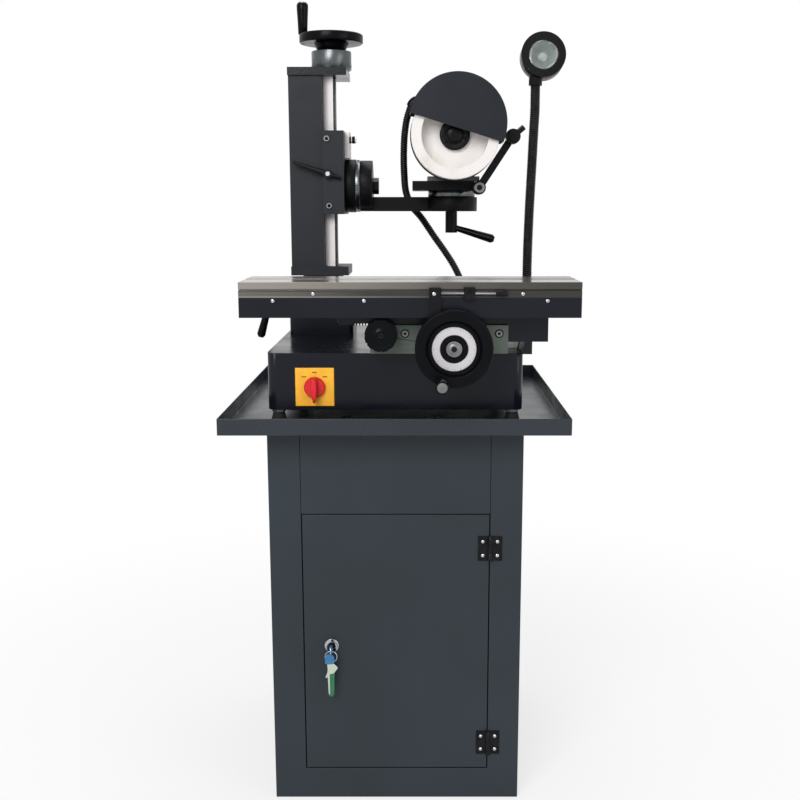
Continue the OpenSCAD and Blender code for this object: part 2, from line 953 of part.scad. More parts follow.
module column_pedestal() {
    color([0.06, 0.06, 0.065])
        difference() {
            union() {
                translate([pedestal_x, column_y, base_top])
                    linear_extrude(pedestal_height)
                        round_square(pedestal_width, pedestal_depth, base_corner / 2);
                translate([pedestal_x, column_y, base_top + pedestal_height])
                    cylinder(r = neck_r, h = neck_height);
            }
            rod_x(pedestal_left - over, column_lever_y, column_lever_z, lever_stud_r + shaft_gap,
                lever_hub_length);
        }
}

module column_lever() {
    color([0.04, 0.04, 0.04]) {
        rod_x(pedestal_left - slide_gap - lever_hub_length, column_lever_y, column_lever_z, lever_hub_r,
            lever_hub_length);
        rod_x(pedestal_left - slide_gap - over, column_lever_y, column_lever_z, lever_stud_r,
            lever_hub_length / 2);
        translate([pedestal_left - slide_gap - lever_hub_length + lever_hub_r, column_lever_y,
            column_lever_z])
            rotate([0, 180 + head_lever_droop, 0])
                lever_grip(lever_arm_length);
    }
}

module column_post() {
    color([0.07, 0.07, 0.075])
        difference() {
            union() {
                span([flange_left, column_y - flange_depth / 2, flange_z],
                    [flange_right, column_y + flange_depth / 2, post_z]);
                span([post_x - post_width / 2, column_y - post_depth / 2, post_z],
                    [post_right, column_y + post_depth / 2, post_top]);
            }
            span([post_x - post_width / 2 + post_wall, column_y - post_depth / 2 + post_wall, post_z],
                [post_right - post_wall, column_y + post_depth / 2 - post_wall, post_top + over]);
            translate([lift_x, column_y, post_z - screw_socket])
                cylinder(r = lift_screw_r + shaft_gap, h = screw_socket + over);
        }
}

module column_cap() {
    color([0.07, 0.07, 0.075])
        difference() {
            span([flange_left, column_y - flange_depth / 2, post_top],
                [flange_right, column_y + flange_depth / 2, cap_top]);
            translate([lift_x, column_y, post_top - over])
                cylinder(r = lift_screw_r + shaft_gap, h = cap_height + 2 * over);
        }
}

// Outline of the dovetail, grown by a gap
module way_outline(gap) {
    polygon([
        [post_right - (gap > 0 ? over : 0), column_y - way_root_half - gap],
        [way_face + gap, column_y - way_half - gap],
        [way_face + gap, column_y + way_half + gap],
        [post_right - (gap > 0 ? over : 0), column_y + way_root_half + gap]
    ]);
}

module column_way() {
    color([0.75, 0.76, 0.78])
        translate([0, 0, post_z])
            linear_extrude(post_height)
                difference() {
                    way_outline(0);
                    translate([lift_x, column_y])
                        circle(r = groove_r);
                }
}

module lift_screw() {
    color([0.35, 0.35, 0.36])
        translate([lift_x, column_y, post_z - screw_socket])
            cylinder(r = lift_screw_r,
                h = lift_wheel_z + lift_wheel_height - wheel_dish - post_z + screw_socket);
}

module lift_dial() {
    color([0.78, 0.78, 0.8])
        translate([lift_x, column_y, lift_dial_z])
            difference() {
                cylinder(r = lift_dial_d / 2, h = lift_dial_height);
                translate([0, 0, -over])
                    cylinder(r = lift_screw_r + shaft_gap, h = lift_dial_height + 2 * over);
            }
}

module lift_wheel() {
    color([0.04, 0.04, 0.04])
        difference() {
            translate([lift_x, column_y, lift_wheel_z])
                dished_wheel(lift_wheel_d, lift_wheel_height, lift_screw_r + shaft_gap);
            translate([lift_x - lift_handle_r, column_y, lift_wheel_z])
                cylinder(r = handle_pin_r + shaft_gap, h = lift_wheel_height + over);
        }
}

// A revolving handle on its pin, along +Z from the rim
module revolving_handle() {
    cylinder(r1 = handle_r * handle_base_share, r2 = handle_r, h = handle_length - handle_crown);
    translate([0, 0, handle_length - handle_crown])
        cylinder(r1 = handle_r, r2 = handle_r * handle_base_share, h = handle_crown);
    translate([0, 0, -handle_pin_depth])
        cylinder(r = handle_pin_r, h = handle_pin_depth + over);
}

module lift_handle() {
    color([0.04, 0.04, 0.04])
        translate([lift_x - lift_handle_r, column_y, lift_handle_z + slide_gap])
            revolving_handle();
}

// Carriage

module carriage() {
    color([0.07, 0.08, 0.08])
        difference() {
            span([carriage_back, carriage_front, carriage_z],
                [carriage_face, carriage_front + carriage_depth_y, carriage_top]);
            translate([0, 0, carriage_z - over])
                linear_extrude(carriage_height + 2 * over)
                    way_outline(slide_gap);
            translate([lift_x, column_y, carriage_z - over])
                cylinder(r = lift_screw_r + shaft_gap, h = carriage_height + 2 * over);
            rod_y(slide_lever_x, carriage_front - over, slide_lever_z, lever_stud_r + shaft_gap,
                slide_lever_hub + over);
        }
}

module slide_lever() {
    hub_y = carriage_front - slide_gap - slide_lever_hub;
    color([0.05, 0.05, 0.05]) {
        rod_y(slide_lever_x, hub_y, slide_lever_z, lever_tip_r, slide_lever_hub);
        rod_y(slide_lever_x, hub_y, slide_lever_z, lever_stud_r, 2 * slide_lever_hub - over);
        translate([slide_lever_x, hub_y + slide_lever_hub / 2, slide_lever_z]) {
            rotate([0, slide_lever_turn + 90, 0])
                cylinder(r1 = lever_stud_r, r2 = lever_stud_r * lever_tip_share, h = slide_lever_length);
            rotate([0, slide_lever_turn - 90, 0])
                cylinder(r1 = lever_stud_r, r2 = lever_stud_r * lever_tip_share, h = slide_lever_tail);
        }
    }
}

module index_plate() {
    knob_z = carriage_top - index_width;
    color([0.7, 0.7, 0.72])
        span([carriage_face, column_y - index_depth / 2, tilt_z + tilt_plate_d / 2 + index_gap],
            [carriage_face + index_width, column_y + index_depth / 2, carriage_top]);
    color([0.05, 0.05, 0.05])
        rod_x(carriage_face + index_width, column_y - index_depth / 4, knob_z - index_knob_r, index_knob_r,
            index_knob_length);
}

module tilt_plate() {
    color([0.06, 0.06, 0.06])
        difference() {
            rod_x(carriage_face, column_y, tilt_z, tilt_plate_d / 2, tilt_plate_length);
            rod_x(carriage_face - over, column_y, tilt_z, tilt_stud_r + shaft_gap,
                tilt_plate_length + 2 * over);
        }
}

module tilt_ring() {
    color([0.78, 0.78, 0.8])
        difference() {
            rod_x(ring_x, column_y, tilt_z, tilt_plate_d / 2 - tilt_ring_step, tilt_ring_length);
            rod_x(ring_x - over, column_y, tilt_z, tilt_stud_r + shaft_gap, tilt_ring_length + 2 * over);
        }
}

module tilt_bolt() {
    color([0.05, 0.05, 0.05]) {
        rod_x(carriage_face, column_y, tilt_z, tilt_stud_r, hub_end + slide_gap + over - carriage_face);
        translate([hub_end + slide_gap, column_y, tilt_z])
            rotate([0, 90, 0])
                cylinder(r = tilt_nut_r, h = tilt_nut_length, $fn = 6);
    }
}

module tilt_arm() {
    color([0.06, 0.06, 0.065])
        difference() {
            union() {
                rod_x(hub_x, column_y, tilt_z, hub_d / 2, hub_length);
                span([hub_x, column_y - arm_depth / 2, arm_z],
                    [arm_x, column_y + arm_depth / 2, arm_z + arm_thick]);
                translate([arm_x, column_y, arm_z])
                    cylinder(r = arm_end_d / 2, h = arm_thick);
            }
            rod_x(hub_x - over, column_y, tilt_z, tilt_stud_r + shaft_gap, hub_length + 2 * over);
            translate([arm_x, column_y, arm_z - over])
                cylinder(r = head_stud_r + shaft_gap, h = arm_thick + 2 * over);
        }
}

module swivel_collar() {
    color([0.75, 0.75, 0.77])
        translate([arm_x, column_y, collar_z])
            difference() {
                cylinder(r = collar_r, h = collar_height);
                translate([0, 0, -over])
                    cylinder(r = head_stud_r + shaft_gap, h = collar_height + 2 * over);
            }
}

module head_lever() {
    color([0.04, 0.04, 0.04])
        translate([arm_x, column_y, arm_z - slide_gap - head_hub_height])
            difference() {
                union() {
                    cylinder(r = lever_hub_r, h = head_hub_height);
                    translate([0, 0, lever_hub_r])
                        rotate([0, 0, head_lever_turn])
                            lever_arm(head_lever_length, head_lever_droop);
                }
                cylinder(r = head_stud_r + shaft_gap, h = head_hub_height + over);
            }
}

// Wheel head

module head_plate() {
    color([0.07, 0.07, 0.075]) {
        span([arm_x - head_plate_left, head_plate_front, head_z],
            [arm_x + head_plate_right, head_plate_back, head_z + head_plate_thick]);
        translate([rest_x, head_plate_front + rest_boss_r, rest_z])
            rotate([-90, 0, 0])
                translate([0, 0, -rest_boss_r])
                    difference() {
                        cylinder(r = rest_boss_r, h = 2 * rest_boss_r);
                        translate([0, 0, -over])
                            cylinder(r = rest_bolt_r + shaft_gap, h = 2 * rest_boss_r + 2 * over);
                    }
        translate([arm_x, column_y, arm_z - head_hub_height])
            cylinder(r = head_stud_r, h = head_z - arm_z + head_hub_height + over);
    }
}

module motor_body() {
    low = head_z + head_plate_thick;
    color([0.62, 0.63, 0.65])
        difference() {
            union() {
                rod_y(motor_x, motor_y, wheel_z, motor_d / 2, motor_length);
                rod_y(motor_x, motor_y + motor_length - over, wheel_z, motor_d / 2 - base_wall / 2,
                    fan_cover_length);
                span([motor_x - motor_foot_width / 2, motor_y + base_wall, low],
                    [motor_x + motor_foot_width / 2, motor_y + base_wall + motor_foot_length,
                        low + base_wall]);
                span([motor_x - motor_foot_width / 3, motor_y + base_wall, low],
                    [motor_x + motor_foot_width / 3, motor_y + base_wall + motor_foot_length, wheel_z]);
            }
            rod_y(motor_x, motor_y - over, wheel_z, spindle_r + shaft_gap, spindle_inside + 2 * over);
        }
}

module motor_bell() {
    color([0.15, 0.15, 0.16])
        difference() {
            union() {
                rod_y(motor_x, motor_y - bell_length, wheel_z, bell_r, bell_length);
                rod_y(motor_x, motor_y - bell_length - bell_nose, wheel_z, bell_nose_r, bell_nose + over);
            }
            rod_y(motor_x, motor_y - bell_length - bell_nose - over, wheel_z, spindle_r + shaft_gap,
                bell_length + bell_nose + 2 * over);
        }
}

module terminal_box() {
    color([0.1, 0.1, 0.1])
        difference() {
            span([terminal_x, terminal_y, terminal_z],
                [terminal_x + terminal_width, terminal_y + terminal_depth, terminal_z + terminal_height]);
            rod_y(motor_x, terminal_y - over, wheel_z, motor_d / 2, terminal_depth + 2 * over);
        }
}

module spindle() {
    collar_y = wheel_back;
    color([0.7, 0.7, 0.72]) {
        rod_y(motor_x, wheel_front + wheel_depth - wheel_web_thick - flange_thick - nut_length, wheel_z,
            spindle_r,
            spindle_inside - wheel_front - wheel_depth + wheel_web_thick + flange_thick + nut_length);
        rod_y(motor_x, collar_y, wheel_z, flange_r, -bell_length - bell_nose - slide_gap - collar_y);
    }
}

module grinding_wheel() {
    web_y = wheel_back - wheel_web_thick;
    color([0.93, 0.93, 0.92])
        difference() {
            rod_y(motor_x, wheel_front, wheel_z, wheel_d / 2, wheel_depth);
            rod_y(motor_x, wheel_front - over, wheel_z, wheel_d / 2 - wheel_rim, web_y - wheel_front + over);
            rod_y(motor_x, web_y - over, wheel_z, spindle_r + shaft_gap, wheel_web_thick + 2 * over);
        }
}

module wheel_flange() {
    web_y = wheel_back - wheel_web_thick;
    color([0.05, 0.05, 0.05])
        difference() {
            union() {
                rod_y(motor_x, web_y - flange_thick, wheel_z, flange_r, flange_thick);
                rod_y(motor_x, web_y - flange_thick - nut_length, wheel_z, nut_r, nut_length + over);
            }
            rod_y(motor_x, web_y - flange_thick - nut_length - over, wheel_z, spindle_r + shaft_gap,
                flange_thick + nut_length + 2 * over);
        }
}

// Upper segment of a disc about the guard's middle
module guard_segment(r) {
    intersection() {
        circle(r = r);
        rotate(-guard_tilt)
            translate([-2 * guard_r, -guard_drop])
                square([4 * guard_r, 2 * guard_r]);
    }
}

module wheel_guard() {
    depth = guard_back - guard_front;
    color([0.2, 0.22, 0.25])
        translate([motor_x, guard_back, wheel_z])
            rotate([90, 0, 0]) {
                linear_extrude(guard_sheet)
                    difference() {
                        union() {
                            translate([guard_shift, guard_offset])
                                guard_segment(guard_r);
                            circle(r = guard_plate_r);
                        }
                        circle(r = bell_nose_r + shaft_gap);
                    }
                translate([guard_shift, guard_offset, 0]) {
                    linear_extrude(depth)
                        difference() {
                            guard_segment(guard_r);
                            circle(r = guard_r - guard_sheet);
                        }
                    translate([0, 0, depth - guard_sheet])
                        linear_extrude(guard_sheet)
                            guard_segment(guard_r);
                }
            }
}

// Tooth rest

module rest_bolt() {
    color([0.35, 0.35, 0.36]) {
        rod_y(rest_x, rest_bar_front - slide_gap, rest_z, rest_bolt_r,
            head_plate_front + 2 * rest_boss_r - rest_bar_front);
        rod_y(rest_x, rest_bar_front - slide_gap - rest_head, rest_z, rest_head_r, rest_head + shaft_gap);
    }
}

module rest_rod() {
    rise = [rest_top_x - rest_x, rest_top_z - rest_z];
    turn = atan2(rise[1], rise[0]);
    color([0.05, 0.05, 0.05])
        difference() {
            union() {
                rod_y(rest_x, rest_bar_front, rest_z, rest_boss_r, rest_bar);
                translate([rest_x, rest_bar_front, rest_z])
                    rotate([0, -turn, 0])
                        translate([0, 0, -rest_bar_width / 2])
                            cube([norm(rise), rest_bar, rest_bar_width]);
                rod_y(rest_top_x, rest_bar_front, rest_top_z, rest_bar_width / 2, rest_bar);
                rod_y(rest_top_x, rest_bar_front - slide_gap - clamp_length, rest_top_z, rest_pin_r,
                    clamp_length + over);
            }
            rod_y(rest_x, rest_bar_front - over, rest_z, rest_bolt_r + shaft_gap, rest_bar + 2 * over);
        }
}

module rest_clamp() {
    front = rest_bar_front - slide_gap - clamp_length;
    color([0.06, 0.06, 0.06])
        difference() {
            union() {
                rod_y(rest_top_x, front, rest_top_z, clamp_r, clamp_length);
                translate([rest_top_x, front + clamp_length / 2, rest_top_z])
                    rotate([0, clamp_knob_turn, 0])
                        cylinder(r = clamp_knob_r, h = clamp_r + clamp_knob_length);
            }
            rod_y(rest_top_x, front - over, rest_top_z, rest_pin_r + shaft_gap, clamp_length + 2 * over);
        }
}

module conduit() {
    color([0.05, 0.05, 0.05])
        ribbed_tube(conduit_route, ribs_per_step, conduit_d, conduit_bore_r);
}

// Saddle

module saddle() {
    back = saddle_front + saddle_depth;
    color([0.07, 0.07, 0.07])
        difference() {
            union() {
                span([saddle_left, saddle_front, saddle_z], [saddle_left + saddle_length, back, saddle_top]);
                for (x = cross_way_xs)
                    span([x - cross_half - cross_root, saddle_front, base_top + slide_gap],
                        [x + cross_half + cross_root, back, saddle_z + over]);
                translate([neck_route[0][0], neck_route[0][1], saddle_top - over])
                    cylinder(r = lamp_foot_r, h = lamp_foot_height + over);
                translate([saddle_left, dovetail_y, saddle_top - over])
                    rotate([90, 0, 90])
                        linear_extrude(saddle_length)
                            polygon([
                                [-dovetail_root, 0], [dovetail_root, 0], [dovetail_half, dovetail_height],
                                [-dovetail_half, dovetail_height]
                            ]);
            }
            for (x = cross_way_xs)
                translate([x, saddle_front - over, base_top])
                    rotate([-90, 0, 0])
                        mirror([0, 1, 0])
                            linear_extrude(saddle_depth + 2 * over)
                                polygon([
                                    [-cross_root - slide_gap, -over], [cross_root + slide_gap, -over],
                                    [cross_half + slide_gap, way_height + slide_gap],
                                    [-cross_half - slide_gap, way_height + slide_gap]
                                ]);
            span([saddle_left - over, rack_slot_y, traverse_z + pinion_r - 3 * tooth_module],
                [saddle_left + saddle_length + over, rack_slot_y + rack_slot_width, saddle_top + over]);
            span([traverse_x - pinion_r - 3 * tooth_module, rack_slot_y, saddle_z - over],
                [traverse_x + pinion_r + 3 * tooth_module, rack_slot_y + rack_slot_width, saddle_top + over]);
            span([feed_x - channel_width / 2, saddle_front - over, saddle_z - over],
                [feed_x + channel_width / 2, back + over, saddle_z + channel_height]);
            rod_y(traverse_x, saddle_front - over, traverse_z, traverse_shaft_r + shaft_gap,
                rack_slot_y + rack_slot_width + pivot_depth + 2 * over - saddle_front);
        }
}

module apron_plate() {
    color([0.45, 0.48, 0.47])
        difference() {
            span([apron_left, apron_front, apron_bottom],
                [apron_left + apron_width, saddle_front, apron_bottom + apron_height]);
            rod_y(feed_x, apron_front - over, feed_z, feed_screw_r + shaft_gap, apron_thick + 2 * over);
            rod_y(traverse_x, apron_front - over, traverse_z, traverse_shaft_r + shaft_gap,
                apron_thick + 2 * over);
        }
}

module stop_post() {
    foot_top = bed_z - stop_gap;
    color([0.05, 0.05, 0.05]) {
        span([stop_post_x, stop_back - stop_thick, apron_bottom + apron_height],
            [stop_post_x + stop_post_width, stop_back, stop_top]);
        span([stop_post_x, stop_back - over, apron_bottom + apron_height],
            [stop_post_x + stop_post_width, saddle_front, foot_top]);
        rod_x(stop_post_x, stop_rod_y, stop_rod_z, stop_rod_r, stop_rod_end - stop_post_x);
        rod_x(stop_collar_x, stop_rod_y, stop_rod_z, stop_collar_r, stop_rod_end - stop_collar_x);
    }
}

// Lamp

module lamp_neck() {
    color([0.05, 0.05, 0.05])
        ribbed_tube(neck_route, neck_ribs_per_step, neck_d, neck_bore_r);
}

module lamp_head() {
    neck_end = neck_route[len(neck_route) - 1];
    color([0.05, 0.05, 0.05]) {
        translate([lamp_x, lamp_y, lamp_z])
            rotate([90 - lamp_tilt, 0, 0])
                rotate_extrude()
                    polygon([
                        [0, -lamp_length + lamp_back], [0, -lamp_length], [lamp_rear_r, -lamp_length],
                        [lamp_head_d / 2, -lamp_length / 2], [lamp_head_d / 2, 0],
                        [lens_d / 2, 0], [lens_d / 2, -lens_set - lens_thick - lamp_wall],
                        [lamp_rear_r - lamp_wall, -lamp_length + lamp_back]
                    ]);
        translate(neck_end)
            cylinder(r = lamp_socket_r, h = lamp_socket);
    }
}

module lamp_lens() {
    color([0.85, 0.87, 0.88, 0.6])
        translate([lamp_x, lamp_y, lamp_z])
            rotate([90 - lamp_tilt, 0, 0])
                translate([0, 0, -lens_set - lens_thick])
                    cylinder(r = lens_d / 2 - shaft_gap, h = lens_thick);
}

// Feed

module feed_screw() {
    color([0.6, 0.6, 0.62])
        rod_y(feed_x, feed_wheel_front + feed_end_set, feed_z, feed_screw_r,
            feed_screw_end - feed_wheel_front - feed_end_set);
}

module feed_wheel() {
    color([0.04, 0.04, 0.04])
        difference() {
            union() {
                translate([feed_x, feed_wheel_back, feed_z])
                    rotate([90, 0, 0])
                        dished_wheel(feed_wheel_d, feed_wheel_depth, feed_screw_r + shaft_gap);
                rod_y(feed_x, feed_wheel_back - over, feed_z, feed_hub_r,
                    apron_front - slide_gap - feed_wheel_back + over);
            }
            rod_y(feed_x, feed_wheel_front - over, feed_z, feed_screw_r + shaft_gap,
                apron_front - feed_wheel_front + over);
            rod_y(feed_x - feed_handle_r * cos(feed_handle_turn), feed_wheel_front - over,
                feed_z - feed_handle_r * sin(feed_handle_turn), handle_pin_r + shaft_gap,
                feed_wheel_depth + 2 * over);
        }
}

module feed_handle() {
    color([0.04, 0.04, 0.04])
        translate([feed_x - feed_handle_r * cos(feed_handle_turn), feed_wheel_front - slide_gap,
            feed_z - feed_handle_r * sin(feed_handle_turn)])
            rotate([90, 0, 0])
                revolving_handle();
}

module traverse_knob() {
    knob_back = apron_front - slide_gap;
    color([0.05, 0.05, 0.05]) {
        difference() {
            rod_y(traverse_x, knob_back - traverse_knob_length, traverse_z, traverse_knob_d / 2,
                traverse_knob_length);
            for (a = [0 : 360 / knob_flutes : 360 - 360 / knob_flutes])
                rod_y(traverse_x + traverse_knob_d / 2 * cos(a), knob_back - traverse_knob_length - over,
                    traverse_z + traverse_knob_d / 2 * sin(a), knob_flute / 2,
                    traverse_knob_length + 2 * over);
        }
        rod_y(traverse_x, knob_back - over, traverse_z, traverse_shaft_r,
            rack_slot_y + rack_slot_width + pivot_depth - knob_back);
        translate([traverse_x, pinion_y + pinion_length, traverse_z])
            rotate([90, 0, 0])
                linear_extrude(pinion_length)
                    pinion_outline();
    }
}

// Table

module rack_outline() {
    tip = traverse_z + pinion_r - tooth_module;
    root = traverse_z + pinion_r + root_share * tooth_module;
    slope = tan(pressure_angle);
    half = pitch / 4 - backlash / 2;
    polygon(concat(
        [[traverse_x - rack_teeth * pitch / 2, bed_z + over], [traverse_x - rack_teeth * pitch / 2, root]],
        flat([for (n = [0 : rack_teeth - 1])
            let (x = traverse_x + (n - (rack_teeth - 1) / 2) * pitch)
            [
                [x - half - slope * root_share * tooth_module, root], [x - half + slope * tooth_module, tip],
                [x + half - slope * tooth_module, tip], [x + half + slope * root_share * tooth_module, root]
            ]]),
        [[traverse_x + rack_teeth * pitch / 2, root], [traverse_x + rack_teeth * pitch / 2, bed_z + over]]));
}

module table_bed() {
    color([0.06, 0.06, 0.065])
        difference() {
            span([table_left, table_front, bed_z],
                [table_left + table_length, table_front + table_depth, top_z]);
            translate([table_left - over, dovetail_y, saddle_top - over])
                rotate([90, 0, 90])
                    linear_extrude(table_length + 2 * over)
                        polygon([
                            [-dovetail_root - slide_gap, 0], [dovetail_root + slide_gap, 0],
                            [dovetail_half + slide_gap, dovetail_height + slide_gap],
                            [-dovetail_half - slide_gap, dovetail_height + slide_gap]
                        ]);
        }
    color([0.3, 0.3, 0.31])
        translate([0, pinion_y + pinion_length, 0])
            rotate([90, 0, 0])
                linear_extrude(pinion_length)
                    rack_outline();
}

module table_top() {
    back = table_front + table_depth;
    slot_y = table_front + table_depth / 2;
    color([0.6, 0.61, 0.6])
        difference() {
            span([table_left, table_front, top_z], [table_left + table_length, back, table_top_z]);
            span([table_left - over, slot_y - slot_neck / 2, table_top_z - slot_depth],
                [table_left + table_length + over, slot_y + slot_neck / 2, table_top_z + over]);
            span([table_left - over, slot_y - slot_head / 2, table_top_z - slot_depth],
                [table_left + table_length + over, slot_y + slot_head / 2,
                    table_top_z - slot_depth + slot_head_height]);
            span([table_left - over, table_front - over, top_z + table_top_height / 2 - groove_height / 2],
                [table_left + table_length + over, table_front + groove_depth,
                    top_z + table_top_height / 2 + groove_height / 2]);
        }
}

module stop_dog() {
    color([0.05, 0.05, 0.05])
        difference() {
            span([stop_dog_x, stop_back - stop_thick, stop_rod_z - stop_dog_height / 2],
                [stop_dog_x + stop_dog_width, table_front, stop_rod_z + stop_dog_height / 2]);
            rod_x(stop_dog_x - over, stop_rod_y, stop_rod_z, stop_rod_r + shaft_gap,
                stop_dog_width + 2 * over);
        }
}

cabinet_shell();
front_panel();
frame_hinges();
drip_tray();
base_box();
base_feet();
switch_plate();
column_pedestal();
cross_ways();
feed_nut();
column_post();
column_cap();
column_way();
cabinet_door();
door_hinges();
hinge_pins();
lock_body();
lock_plug();
door_key();
key_bunch();
switch_knob();
column_lever();
lift_screw();
lift_dial();
lift_wheel();
lift_handle();
carriage();
index_plate();
tilt_plate();
tilt_ring();
tilt_bolt();
slide_lever();
tilt_arm();
swivel_collar();
head_lever();
head_plate();
motor_body();
motor_bell();
terminal_box();
rest_bolt();
spindle();
grinding_wheel();
wheel_flange();
wheel_guard();
rest_rod();
rest_clamp();
conduit();
saddle();
apron_plate();
stop_post();
lamp_neck();
lamp_head();
lamp_lens();
feed_screw();
feed_wheel();
feed_handle();
traverse_knob();
table_bed();
table_top();
stop_dog();

echo(conduit_gap = self_gap(sampled(conduit_route, 2 * ribs_per_step), conduit_d, 6 * ribs_per_step));
echo(neck_gap = self_gap(sampled(neck_route, 2 * neck_ribs_per_step), neck_d, 6 * neck_ribs_per_step));
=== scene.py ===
"""Tool and cutter grinder on a cabinet stand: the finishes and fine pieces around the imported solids."""
import math

import bmesh
import bpy
from mathutils import Matrix, Vector


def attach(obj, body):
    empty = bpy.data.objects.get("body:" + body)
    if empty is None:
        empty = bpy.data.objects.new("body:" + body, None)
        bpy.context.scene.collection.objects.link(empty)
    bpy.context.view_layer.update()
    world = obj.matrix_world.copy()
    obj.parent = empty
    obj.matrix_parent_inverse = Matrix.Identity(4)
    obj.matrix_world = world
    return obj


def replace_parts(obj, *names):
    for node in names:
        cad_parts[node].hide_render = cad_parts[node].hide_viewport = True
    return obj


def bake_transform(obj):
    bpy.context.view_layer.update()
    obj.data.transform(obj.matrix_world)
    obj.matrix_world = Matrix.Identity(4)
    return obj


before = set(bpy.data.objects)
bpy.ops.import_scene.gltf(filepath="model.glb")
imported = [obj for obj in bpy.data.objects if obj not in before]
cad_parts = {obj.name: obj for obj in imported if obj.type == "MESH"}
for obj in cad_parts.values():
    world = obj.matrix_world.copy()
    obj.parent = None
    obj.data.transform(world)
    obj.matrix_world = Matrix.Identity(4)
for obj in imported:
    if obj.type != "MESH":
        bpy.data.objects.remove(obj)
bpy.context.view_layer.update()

# Studio: a pale floor, a large soft light from the front left, a weaker one from the right
# and one from above, in a white surround that polished faces can mirror.
scene = bpy.context.scene
scene.view_settings.view_transform = "Standard"

focal_pixels, image_pixels, axis_pixel = 1042.0, 800.0, 418.0
pitch = math.radians(10.5)
camera_data = bpy.data.cameras.new("camera")
camera_data.sensor_width = 36.0
camera_data.lens = camera_data.sensor_width * focal_pixels / image_pixels
camera_data.shift_x = (image_pixels / 2 - axis_pixel) / image_pixels
camera = bpy.data.objects.new("camera", camera_data)
camera.location = (0.037, -1.880, 1.013)
camera.rotation_euler = (math.pi / 2 - pitch, 0, 0)
scene.collection.objects.link(camera)
scene.camera = camera


def soft_light(name, place, target, size, watts):
    """A square area light that looks at a point."""
    data = bpy.data.lights.new(name, "AREA")
    data.size = size
    data.energy = watts
    lamp = bpy.data.objects.new(name, data)
    lamp.location = place
    lamp.rotation_euler = (Vector(target) - Vector(place)).to_track_quat("-Z", "Y").to_euler()
    scene.collection.objects.link(lamp)


soft_light("key_light", (-1.1, -3.0, 2.5), (0, 0, 0.75), 1.6, 78)
soft_light("fill_light", (2.4, -2.0, 1.5), (0, 0, 0.8), 1.6, 16)
soft_light("top_light", (0.2, 0.9, 3.2), (0, 0, 0.9), 1.6, 26)


class Field:
    """A shader socket that takes part in sums and products."""

    def __init__(self, graph, socket):
        self.graph = graph
        self.socket = socket

    def maths(self, operation, other, turned=False):
        first, second = (other, self) if turned else (self, other)
        return self.graph.node("ShaderNodeMath", {0: first, 1: second}, operation=operation)

    def __add__(self, other):
        return self.maths("ADD", other)

    def __radd__(self, other):
        return self.maths("ADD", other, True)

    def __sub__(self, other):
        return self.maths("SUBTRACT", other)

    def __rsub__(self, other):
        return self.maths("SUBTRACT", other, True)

    def __mul__(self, other):
        return self.maths("MULTIPLY", other)

    def __rmul__(self, other):
        return self.maths("MULTIPLY", other, True)


class Graph:
    """A shader node tree."""

    def __init__(self, tree):
        self.tree = tree

    def node(self, kind, sockets=None, out=0, **settings):
        made = self.tree.nodes.new(kind)
        for setting, value in settings.items():
            setattr(made, setting, value)
        for socket, value in (sockets or {}).items():
            if isinstance(value, Field):
                self.tree.links.new(value.socket, made.inputs[socket])
            else:
                made.inputs[socket].default_value = value
        return Field(self, made.outputs[out])

    def spread(self, field, low, high, low_value=0.0, high_value=1.0):
        return self.node("ShaderNodeMapRange", {
            "Value": field, "From Min": low, "From Max": high, "To Min": low_value, "To Max": high_value},
            interpolation_type="SMOOTHSTEP")

    def white_rays(self):
        rays = [self.node("ShaderNodeLightPath", out=name)
                for name in ("Is Camera Ray", "Is Glossy Ray", "Is Transmission Ray")]
        return rays[0] + rays[1] + rays[2]


class Finish(Graph):
    """A material on one principled shader."""

    def __init__(self, name, colour, rough, metal=0.0, specular=0.5, **fixed):
        self.material = bpy.data.materials.new(name)
        self.material.use_nodes = True
        super().__init__(self.material.node_tree)
        self.shader = self.tree.nodes["Principled BSDF"]
        self.colour = colour
        fixed = {"Roughness": rough, "Metallic": metal, "Specular IOR Level": specular, **fixed}
        self.shader.inputs["Base Color"].default_value = (*colour, 1)
        for socket, value in fixed.items():
            self.shader.inputs[socket.replace("_", " ")].default_value = value
        self.place = self.node("ShaderNodeTexCoord", out="Object")

    def noise(self, scale, detail=3.0, stretch=(1, 1, 1)):
        place = self.node("ShaderNodeMapping", {"Vector": self.place, "Scale": stretch})
        return self.node("ShaderNodeTexNoise", {"Vector": place, "Scale": scale, "Detail": detail})

    def coordinate(self, axis):
        return self.node("ShaderNodeSeparateXYZ", {0: self.place}, out=axis)

    def mix(self, share, first, second):
        colours = {6: (*first, 1), 7: (*second, 1)}
        return self.node("ShaderNodeMix", {0: share, **colours}, out=2, data_type="RGBA")

    def feed(self, socket, field):
        self.tree.links.new(field.socket, self.shader.inputs[socket])

    def shade(self, field, low=1.0, high=0.85):
        first, second = (tuple(c * share for c in self.colour) for share in (low, high))
        self.feed("Base Color", self.mix(field, first, second))

    def bump(self, height, strength, distance):
        self.feed("Normal", self.node(
            "ShaderNodeBump", {"Height": height, "Strength": strength, "Distance": distance}))


world = bpy.data.worlds.new("surround")
world.use_nodes = True
scene.world = world
surround = Graph(world.node_tree)
lit_share = 0.5
strength = surround.white_rays() * (1 - lit_share) + lit_share
backdrop = world.node_tree.nodes["Background"]
backdrop.inputs["Color"].default_value = (1, 1, 1, 1)
world.node_tree.links.new(strength.socket, backdrop.inputs["Strength"])

